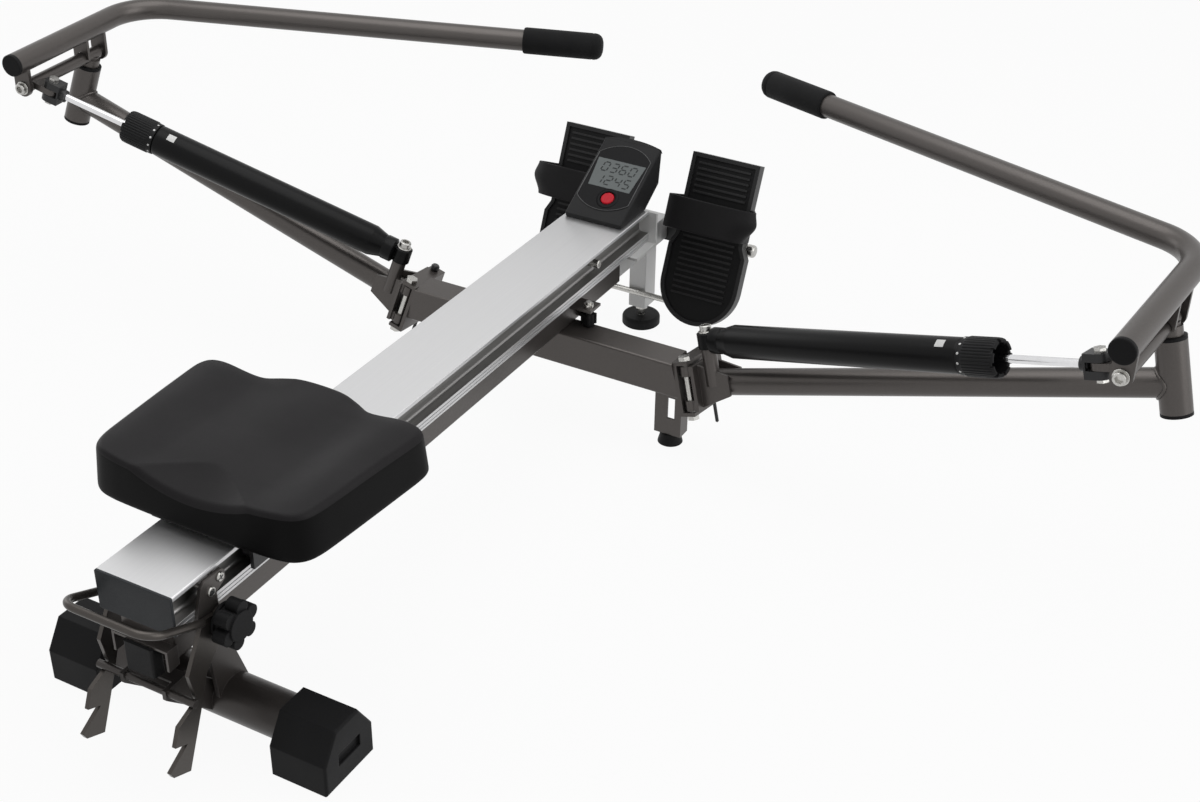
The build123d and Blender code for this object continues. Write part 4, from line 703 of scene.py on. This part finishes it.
# Rib tops get a painted highlight, and the walls a glossier plastic
for name in ("footplate_right", "footplate_left"):
    part_finish(name, rib_painted_highlight, on_rib)
    part_finish(name, wall_plastic, on_side)
line = spline((STRAP_LINE[0], *STRAP_LINE, STRAP_LINE[-1]), STRAP_STEPS) + [Vector(STRAP_LINE[-1])]
strap_points = []
for n in range(STRAP_ROWS):
    share = n / (STRAP_ROWS - 1)
    edge = PEDAL_TOP + pedal_down * (STRAP_FROM + STRAP_WIDTH * share)
    for x, rise in line:
        give = smooth_between(STRAP_GIVE, rise) * smooth_between(STRAP_BULGE, share) if x > 0 else 0.0
        strap_points.append(edge + Vector((x + give, 0, 0)) + pedal_out * rise)
strap_faces = ring_faces(STRAP_ROWS, len(line), closed=False)
strap = link_piece("foot_band", strap_points, strap_faces, strap_rubber, sharp=STRAP_SHARP)
thickness = strap.modifiers.new("thickness", "SOLIDIFY")
thickness.thickness = STRAP_THICK
thickness.offset = -1.0
rim = strap.modifiers.new("rim", "BEVEL")
rim.width = STRAP_ROUND
rim.segments = STRAP_ROUND_STEPS
rim.limit_method = "ANGLE"
handed(strap, "foot_band", "pedal", "foot_strap")

# Monitor: a wedge-shaped plastic case clipped to the rail's front end, with a glossy arched panel,
# a grey display under a clear pane, and one red button in a raised collar.
CASE_COLOUR = (0.0130, 0.0130, 0.0136, 1)
CASE_SHADE = (0.0100, 0.0100, 0.0105, 1)
RIM_COLOUR = (0.040, 0.040, 0.042, 1)
PANEL_COLOUR = (0.0042, 0.0042, 0.0050, 1)
PANEL_SHADE = (0.0034, 0.0034, 0.0040, 1)
DISPLAY_COLOUR = (0.098, 0.112, 0.112, 1)
DISPLAY_SHADE = (0.088, 0.100, 0.100, 1)
SEGMENT_COLOUR = (0.016, 0.019, 0.020, 1)
RED_COLOUR = (0.52, 0.010, 0.024, 1)
RED_SHADE = (0.42, 0.007, 0.017, 1)
FACE_TILT = math.radians(31)
FACE_FOOT = Vector((0, 0.3549, 0.243))
FACE_PROUD = 0.0006
BUTTON_AT = (0.006, 0.038)
# Half width, foot and top of the panel, and where its arched ends begin
PANEL_HALF = 0.041
PANEL_ENDS = (0.017, 0.129)
PANEL_ARCHES = (0.0338, 0.1111)
RIM_RADIUS = 0.0007
FACE_LENGTH = 0.138
CROWN_HALF = 0.0457
CROWN_RISE = 0.0055
CROWN_DEPTH = 0.0088
CROWN_LAP = 0.001
CROWN_STEPS = 24
RIPPLE_DEPTH = 0.16
# Collar round the button: height over the face, then radius
COLLAR_PROFILE = ((0.0002, 0.0109), (0.0012, 0.0109), (0.0016, 0.0115), (0.0014, 0.0150), (0.0010, 0.0164),
                  (0.0002, 0.0168))
DIGIT_H = 0.0150
DIGIT_W = 0.0092
DIGIT_STROKE = 0.0020
BAR_GAP = 0.6
DIGIT_GAP = 0.0052
DIGIT_SLANT = 0.12
DIGIT_LAYER = (0.00002, 0.00012)
DIGIT_ROWS = ((0.0815, "0360"), (0.0595, "1245"))
SEGMENTS = {"0": "abcdef", "1": "bc", "2": "abged", "3": "abgcd", "4": "fgbc", "5": "afgcd", "6": "afgedc"}

case_plastic = surfaced("case_plastic", GRAIN, (CASE_COLOUR, CASE_SHADE), DULL, roughness=(0.42, 0.56),
                        bump=0.00004, edge=0.0012, Scale=1300.0)
panel_plastic = surfaced("panel_plastic", GRAIN, (PANEL_COLOUR, PANEL_SHADE), {"Specular IOR Level": 0.07},
                         roughness=(0.16, 0.22), bump=0.000005)
display = surfaced("display", GRAIN, (DISPLAY_COLOUR, DISPLAY_SHADE),
                   {"Specular IOR Level": 0.2, "Coat Weight": 0.06, "Coat Roughness": 0.06},
                   roughness=(0.14, 0.20), bump=0.000002)
segment_ink = surfaced("segment_ink", GRAIN, (SEGMENT_COLOUR, SEGMENT_COLOUR), DULL, roughness=(0.16, 0.20),
                       bump=0.000002)
red_plastic = surfaced("red_plastic", GRAIN, (RED_COLOUR, RED_SHADE), DULL, roughness=(0.26, 0.34),
                       bump=0.00001)
rim_gloss = surfaced("rim_gloss", GRAIN, (RIM_COLOUR, CASE_COLOUR), roughness=(0.24, 0.34), bump=0.00001)
finish_nodes(case_plastic, "monitor_shell")
finish_nodes(panel_plastic, "monitor_bezel")
finish_nodes(display, "monitor_screen")
finish_nodes(red_plastic, "mode_button")

face_up = Vector((0, math.cos(FACE_TILT), math.sin(FACE_TILT)))
face_out = Vector((0, -math.sin(FACE_TILT), math.cos(FACE_TILT)))


def on_face(x, up, out):
    """Point on the monitor's face."""
    return FACE_FOOT + Vector((x, 0, 0)) + face_up * up + face_out * out


def lathe(origin, axis, profile, sides=48, shape=None, loop=False):
    """Points and faces turned about an axis from (distance along it, radius) pairs.

    Shape gives a factor on the radius and a shift along the axis for an angle and a ring. A loop joins the
    last ring to the first; otherwise both ends are capped.
    """
    basis = axis.to_track_quat("Z", "Y").to_matrix()
    points = []
    for ring, (along, radius) in enumerate(profile):
        for n in range(sides):
            angle = 2 * math.pi * n / sides
            factor, shift = shape(angle, ring) if shape else (1.0, 0.0)
            points.append(origin + basis @ Vector((radius * factor * math.cos(angle),
                                                   radius * factor * math.sin(angle), along + shift)))
    if not loop:
        return points, capped_faces(len(profile), sides)
    start = (len(profile) - 1) * sides
    closing = [(start + n, start + (n + 1) % sides, (n + 1) % sides, n) for n in range(sides)]
    return points, ring_faces(len(profile), sides) + closing


def arch(half, spring, crest, steps=CROWN_STEPS):
    """Points of a circular arch from one side to the other, on the monitor's face."""
    rise = crest - spring
    radius = (half * half + rise * rise) / (2 * rise)
    reach = math.asin(half / radius)
    angles = [reach * (1 - 2 * n / steps) for n in range(steps + 1)]
    return [(radius * math.sin(angle), crest - radius * (1 - math.cos(angle))) for angle in angles]


def bead(line, radius, sides=10, ripples=0):
    """Round bead along a closed line of points, rippled like a weld if asked."""
    points = []
    count = len(line)
    for n, point in enumerate(line):
        along = (line[(n + 1) % count] - line[n - 1]).normalized()
        basis = along.to_track_quat("Z", "Y").to_matrix()
        swelling = radius * (1 + RIPPLE_DEPTH * math.sin(2 * math.pi * ripples * n / count))
        for k in range(sides):
            angle = 2 * math.pi * k / sides
            points.append(point + basis @ Vector((swelling * math.cos(angle), swelling * math.sin(angle), 0)))
    faces = []
    for n in range(count):
        start, after = n * sides, (n + 1) % count * sides
        best = min(range(sides), key=lambda turn: (points[start] - points[after + turn]).length)
        faces += [(start + k, start + (k + 1) % sides,
                   after + (k + 1 + best) % sides, after + (k + best) % sides) for k in range(sides)]
    return points, faces


def segment_bars(left, low):
    """Seven bars of one digit: a letter for each, to its low left and high right corners."""
    half = DIGIT_STROKE / 2
    gap = DIGIT_STROKE * BAR_GAP
    right = left + DIGIT_W
    mid, high = low + DIGIT_H / 2, low + DIGIT_H
    bars = {key: (left + gap, up - half, right - gap, up + half)
            for key, up in (("a", high), ("g", mid), ("d", low))}
    for key, x, start, end in (("f", left, mid, high), ("b", right, mid, high), ("e", left, low, mid),
                               ("c", right, low, mid)):
        bars[key] = (x - half, start + gap, x + half, end - gap)
    return bars


bar_points = []
bar_faces = []
for low, text in DIGIT_ROWS:
    width = len(text) * (DIGIT_W + DIGIT_GAP) - DIGIT_GAP
    for n, digit in enumerate(text):
        bars = segment_bars(-width / 2 + n * (DIGIT_W + DIGIT_GAP), low)
        for key in SEGMENTS[digit]:
            x0, u0, x1, u1 = bars[key]
            start = len(bar_points)
            corners = ((x0, u0), (x1, u0), (x1, u1), (x0, u1))
            for proud in DIGIT_LAYER:
                bar_points += [on_face(x + DIGIT_SLANT * (u - low), u, FACE_PROUD + proud)
                               for x, u in corners]
            bar_faces += [tuple(start + k for k in face) for face in capped_faces(2, len(corners))]
digits = link_piece("display_digits", bar_points, bar_faces, segment_ink)
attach(digits, "frame")
ring = lathe(on_face(*BUTTON_AT, 0), face_out, COLLAR_PROFILE, sides=64, loop=True)
collar = link_piece("button_collar", *ring, panel_plastic)
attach(collar, "frame")
outline = arch(PANEL_HALF, PANEL_ARCHES[1], PANEL_ENDS[1]) + arch(-PANEL_HALF, PANEL_ARCHES[0], PANEL_ENDS[0])
rim_line = [on_face(x, up, FACE_PROUD) for x, up in outline]
panel_rim = link_piece("panel_rim", *bead(rim_line, RIM_RADIUS), rim_gloss, sharp=ALL_SMOOTH)
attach(panel_rim, "frame")
crown_line = arch(CROWN_HALF, FACE_LENGTH - CROWN_LAP, FACE_LENGTH + CROWN_RISE)
crown_points = [on_face(x, up, out) for out in (0.0, -CROWN_DEPTH) for x, up in crown_line]
crown = link_piece("case_crown", crown_points, capped_faces(2, len(crown_line)), case_plastic)
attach(crown, "frame")

# Outriggers: round steel arms that fold on a hinge bolt, each with a welded housing for the oar's yoke.
# A thin lock pin drops through the hinge bracket, and a plastic ring and a plug close the housing.
HINGE = Vector(joints["arm_fold_right"]["pos_m"])
ARM_UP = -Vector(joints["arm_fold_right"]["axis"])
ARM_SLOPE = math.radians(17)
ARM_OUT = Vector((math.cos(ARM_SLOPE), 0, math.sin(ARM_SLOPE)))
ARM_FRONT = ARM_UP.cross(ARM_OUT)
ARM_LENGTH = 0.628
ARM_FORWARD = 0.026
ARM_RADIUS = 0.018
HOUSING_RADIUS = 0.019
BEAD_RADIUS = 0.0024
BEAD_STEPS = 72
BEAD_RIPPLES = 30
PIN_PLACE = (-0.001, 0.062)
PIN_LOW, PIN_HIGH = -0.070, 0.0385
PIN_RADIUS = 0.0024
PIN_KNOB = 0.0062
# Distance along the pin and radius: pointed tip, rod, and the knob it is pulled by
PIN_PROFILE = ((PIN_LOW, 0.4 * PIN_RADIUS), (PIN_LOW + 0.0015, PIN_RADIUS), (PIN_HIGH, PIN_RADIUS),
               (PIN_HIGH, 0.8 * PIN_KNOB), (PIN_HIGH + 0.0015, PIN_KNOB), (PIN_HIGH + 0.0060, PIN_KNOB),
               (PIN_HIGH + 0.0080, 0.75 * PIN_KNOB))


def on_arm(out, forward, up):
    """Point by the right arm's own directions: out along it, forward, and up its hinge."""
    return HINGE + ARM_OUT * out + ARM_FRONT * forward + ARM_UP * up


for side in ("right", "left"):
    finish_nodes(grey_paint, f"outrigger_{side}", f"oar_tube_{side}", f"swing_yoke_{side}")
    finish_nodes(cap_plastic, f"housing_caps_{side}", f"oar_plug_{side}")
seam = []
for n in range(BEAD_STEPS):
    angle = 2 * math.pi * n / BEAD_STEPS
    forward = ARM_RADIUS * math.cos(angle)
    out = ARM_LENGTH - math.sqrt(HOUSING_RADIUS ** 2 - forward ** 2)
    seam.append(on_arm(out, ARM_FORWARD + forward, ARM_RADIUS * math.sin(angle)))
weld = link_piece("housing_weld", *bead(seam, BEAD_RADIUS, ripples=BEAD_RIPPLES), grey_paint,
                  sharp=ALL_SMOOTH)
handed(weld, "housing_weld", "arm")
pin = lathe(on_arm(*PIN_PLACE, 0), ARM_UP, PIN_PROFILE, sides=24)
pins = link_piece("pin_rods", *both_hands(pin), black_steel)
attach(pins, "frame")
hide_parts("lock_pins")

# Oars: bent steel tubes that lift on a long cross bolt, held by a socket head and a nut.
# A plastic plug closes the tail, and a sleeve of black foam is pushed over the handle.
LIFT_HEAD = Vector(joints["oar_lift_right"]["pos_m"])
LEVER = -Vector(joints["oar_lift_right"]["axis"])
OAR_CORNER = Vector((0.8169, 0.3618, 0.4010))
GRIP_END = Vector((0.1357, 0.6287, 0.3812))
GRIP_LENGTH = 0.121
# Distance from the sleeve's open end and radius: rolled lip, plain sleeve, a fine ring and the domed end
GRIP_PROFILE = ((0.0, 0.0164), (0.0, 0.0186), (0.0012, 0.0195), (0.0032, 0.0198), (0.1035, 0.0198),
                (0.1043, 0.0194), (0.1055, 0.0194), (0.1063, 0.0198), (0.1090, 0.0197), (0.1130, 0.0188),
                (0.1165, 0.0166), (0.1190, 0.0132), (0.1204, 0.0088), (0.1210, 0.0030))
# Cross bolt: its shank, then the place, radius and height of its head and of its nut
SHANK_PROFILE = ((-0.0312, 0.0040), (-0.0300, 0.0048), (0.1570, 0.0048))
HEAD_AT, HEAD_RADIUS, HEAD_HEIGHT = 0.1563, 0.0080, 0.0075
NUT_AT, NUT_RADIUS, NUT_HEIGHT = -0.0243, 0.0078, 0.0060
WASHER_RADIUS = 0.0100
WASHER_THICK = 0.0016
WASHER_EDGE = 0.0004
SCREW_CHAMFER = 0.0010
SOCKET_WIDTH = 0.56
SOCKET_FLOOR = 0.45
NUT_CROWN = 0.92
FOAM_COLOUR = (0.0100, 0.0100, 0.0104, 1)
FOAM_SHADE = (0.0066, 0.0066, 0.0070, 1)


def hexagon(angle):
    """Reach of a hexagon of unit half width at an angle."""
    return 1 / math.cos(angle % (math.pi / 3) - math.pi / 6)


def socket_screw(place, axis, radius, height, washer):
    """Cap screw with a hexagon socket, on a flat washer."""
    socket = SOCKET_WIDTH * radius
    profile = ((0.0, washer), (WASHER_THICK - WASHER_EDGE, washer), (WASHER_THICK, washer - WASHER_EDGE),
               (WASHER_THICK, radius), (height - SCREW_CHAMFER, radius), (height, radius - SCREW_CHAMFER),
               (height, socket), (SOCKET_FLOOR * height, socket))
    return lathe(place, axis, profile,
                 shape=lambda angle, ring: (hexagon(angle) if profile[ring][1] == socket else 1.0, 0.0))


def hex_nut(place, axis, half_width, height):
    """Hexagon nut with a chamfered outer face."""
    profile = ((0.0, half_width), (height - SCREW_CHAMFER, half_width), (height, NUT_CROWN * half_width))
    return lathe(place, axis, profile,
                 shape=lambda angle, ring: (hexagon(angle) if profile[ring][1] == half_width else 1.0, 0.0))


foam = surfaced("grip_foam", GRAIN, (FOAM_COLOUR, FOAM_SHADE),
                {"Specular IOR Level": 0.10, "Sheen Weight": 0.04, "Sheen Roughness": 0.6},
                roughness=(0.66, 0.84), bump=0.00012, Scale=1500.0)
handle_way = (GRIP_END - OAR_CORNER).normalized()
grip_shape = lathe(GRIP_END - handle_way * GRIP_LENGTH, handle_way, GRIP_PROFILE, sides=72)
sleeve = link_piece("handle_sleeve", *grip_shape, foam)
for item in handed(sleeve, "handle_sleeve", "oar", "grip").values():
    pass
cross_bolt = together(lathe(LIFT_HEAD, LEVER, SHANK_PROFILE),
                      socket_screw(LIFT_HEAD + LEVER * HEAD_AT, LEVER, HEAD_RADIUS, HEAD_HEIGHT,
                                   WASHER_RADIUS),
                      hex_nut(LIFT_HEAD + LEVER * NUT_AT, -LEVER, NUT_RADIUS, NUT_HEIGHT))
handed(link_piece("oar_cross_bolt", *cross_bolt, zinc), "oar_cross_bolt", "yoke", "lift_bolt")

# Dampers: black painted oil cylinders on an upright eye, with a chromed rod and a forked rod end.
# A fluted dial round the nose sets the resistance: white dots on its skirt come round to a patch on
# the cylinder.
EYE = Vector(joints["damper_swing_right"]["pos_m"])
ROD_PIVOT = Vector(joints["rod_swing_right"]["pos_m"])
BARREL_COLOUR = (0.0046, 0.0046, 0.0049, 1)
BARREL_SHADE = (0.0034, 0.0034, 0.0037, 1)
CHROME_COLOUR = (0.72, 0.72, 0.73, 1)
CHROME_SHADE = (0.66, 0.66, 0.67, 1)
DIAL_COLOUR = (0.0095, 0.0095, 0.0100, 1)
DIAL_SHADE = (0.0070, 0.0070, 0.0075, 1)
MARK_COLOUR = (0.70, 0.70, 0.69, 1)
MARK_SHADE = (0.62, 0.62, 0.61, 1)
FORK_REACH = 0.0152
EYE_PROFILE = ((-0.0110, 0.0118), (-0.0100, 0.0130), (0.0100, 0.0130), (0.0110, 0.0118))
# Distance from the eye and radius: collar, cone, body, rolled nose, then back through the open bore
BARREL_PROFILE = ((0.0090, 0.0100), (0.0120, 0.0160), (0.0132, 0.0176), (0.0268, 0.0176), (0.0282, 0.0166),
                  (0.0298, 0.0170), (0.0450, 0.0213), (0.0475, 0.0220), (0.3880, 0.0220), (0.3904, 0.0217),
                  (0.3920, 0.0208), (0.3921, 0.0200), (0.4040, 0.0200), (0.4040, 0.0180), (0.0700, 0.0180))
# The dial's skirt, fluted body, notched rim and open cup, and the way back over the nose
DIAL_PROFILE = ((0.3924, 0.0204), (0.3924, 0.0224), (0.3930, 0.0229), (0.3990, 0.0229), (0.3996, 0.0233),
                (0.4006, 0.0240), (0.4340, 0.0240), (0.4385, 0.0236), (0.4408, 0.0228), (0.4420, 0.0214),
                (0.4420, 0.0193), (0.4410, 0.0183), (0.4115, 0.0174), (0.4110, 0.0168), (0.4110, 0.0140),
                (0.4060, 0.0140), (0.4060, 0.0204))
DIAL_SIDES = 304
FLUTE_RINGS = (5, 7)
FLUTE_COUNT = 38
FLUTE_DEPTH = 0.040
NOTCH_RINGS = (8, 11)
NOTCH_COUNT = 8
NOTCH_DEPTH = 0.0028
NOTCH_FROM = 0.62
DOT_AT = 0.3956
DOT_RADIUS = 0.0016
DOT_COUNT = 12
DOT_PROFILE = ((0.0, DOT_RADIUS), (0.00018, DOT_RADIUS), (0.0003, 0.6 * DOT_RADIUS))
SKIRT_RADIUS = 0.0228
# Distance from the eye and radius of the white patch's four corners, the way it faces and half its turn
INDEX_CORNERS = ((0.3620, 0.02203), (0.3740, 0.02203), (0.3740, 0.02218), (0.3620, 0.02218))
INDEX_FACES = Vector((0.25, -0.45, 0.85))
INDEX_HALF = 14.0
INDEX_STEPS = 8
BASE_AT, BASE_RADIUS, BASE_HEIGHT, BASE_WASHER = 0.0113, 0.0080, 0.0095, 0.0105


def dial_shape(angle, ring):
    """Flutes along the dial's body and square notches in its rim."""
    if FLUTE_RINGS[0] <= ring <= FLUTE_RINGS[1]:
        return 1 - FLUTE_DEPTH * (0.5 + 0.5 * math.cos(FLUTE_COUNT * angle)) ** 3, 0.0
    if NOTCH_RINGS[0] <= ring <= NOTCH_RINGS[1]:
        return 1.0, -NOTCH_DEPTH * (math.cos(NOTCH_COUNT * angle) > NOTCH_FROM)
    return 1.0, 0.0


barrel_paint = surfaced("barrel_paint", PAINT, (BARREL_COLOUR, BARREL_SHADE), {"Specular IOR Level": 0.12},
                        roughness=(0.28, 0.36), bump=0.00001)
dial_plastic = surfaced("dial_plastic", GRAIN, (DIAL_COLOUR, DIAL_SHADE), DULL, roughness=(0.40, 0.52),
                        bump=0.00003, edge=0.0004, Scale=1200.0)
white_marking = surfaced("white_marking", GRAIN, (MARK_COLOUR, MARK_SHADE), roughness=(0.40, 0.50),
                         bump=0.00001)
chrome = surfaced("chrome_rod", LINES, (CHROME_COLOUR, CHROME_SHADE), {"Metallic": 1.0},
                  roughness=(0.06, 0.12), bump=0.000002, Stretch=(60, 60, 60))
damper_way = (ROD_PIVOT - EYE).normalized()
around = damper_way.to_track_quat("Z", "Y").to_matrix()
barrel = together(lathe(EYE, ARM_UP, EYE_PROFILE, sides=64),
                  lathe(EYE, damper_way, BARREL_PROFILE, sides=96))
cylinder = link_piece("oil_cylinder", *barrel, barrel_paint)
handed(cylinder, "oil_cylinder", "damper", "damper_barrel")
dial_body = lathe(EYE, damper_way, DIAL_PROFILE, DIAL_SIDES, dial_shape, loop=True)
dial = link_piece("setting_dial", *dial_body, dial_plastic)
handed(dial, "setting_dial", "dial", "resistance_dial")
dots = []
for n in range(DOT_COUNT):
    angle = 2 * math.pi * n / DOT_COUNT
    outward = around @ Vector((math.cos(angle), math.sin(angle), 0))
    dots.append(lathe(EYE + damper_way * DOT_AT + outward * SKIRT_RADIUS, outward, DOT_PROFILE, sides=16))
handed(link_piece("dial_dots", *together(*dots), white_marking), "dial_dots", "dial")
outward = (INDEX_FACES - damper_way * INDEX_FACES.dot(damper_way)).normalized()
sideways = damper_way.cross(outward)
patch = []
for n in range(INDEX_STEPS + 1):
    angle = math.radians(INDEX_HALF * (2 * n / INDEX_STEPS - 1))
    facing = outward * math.cos(angle) + sideways * math.sin(angle)
    patch += [EYE + damper_way * along + facing * radius for along, radius in INDEX_CORNERS]
patch_faces = capped_faces(INDEX_STEPS + 1, len(INDEX_CORNERS))
handed(link_piece("index_mark", patch, patch_faces, white_marking), "index_mark", "damper")
base_screw = socket_screw(EYE + ARM_UP * BASE_AT, ARM_UP, BASE_RADIUS, BASE_HEIGHT, BASE_WASHER)
handed(link_piece("base_screw", *base_screw, zinc), "base_screw", "arm", "damper_base_bolt")
for side in ("right", "left"):
    finish_nodes(chrome, f"damper_rod_{side}")
    finish_nodes(black_steel, f"rod_end_{side}")
    pivot = Vector(joints[f"rod_swing_{side}"]["pos_m"])
    upward = Vector(joints[f"rod_swing_{side}"]["axis"])
    upward *= math.copysign(1.0, upward.z)
    part_finish(f"rod_end_{side}", zinc, lambda face: abs((face.center - pivot).dot(upward)) > FORK_REACH)

bpy.context.view_layer.update()
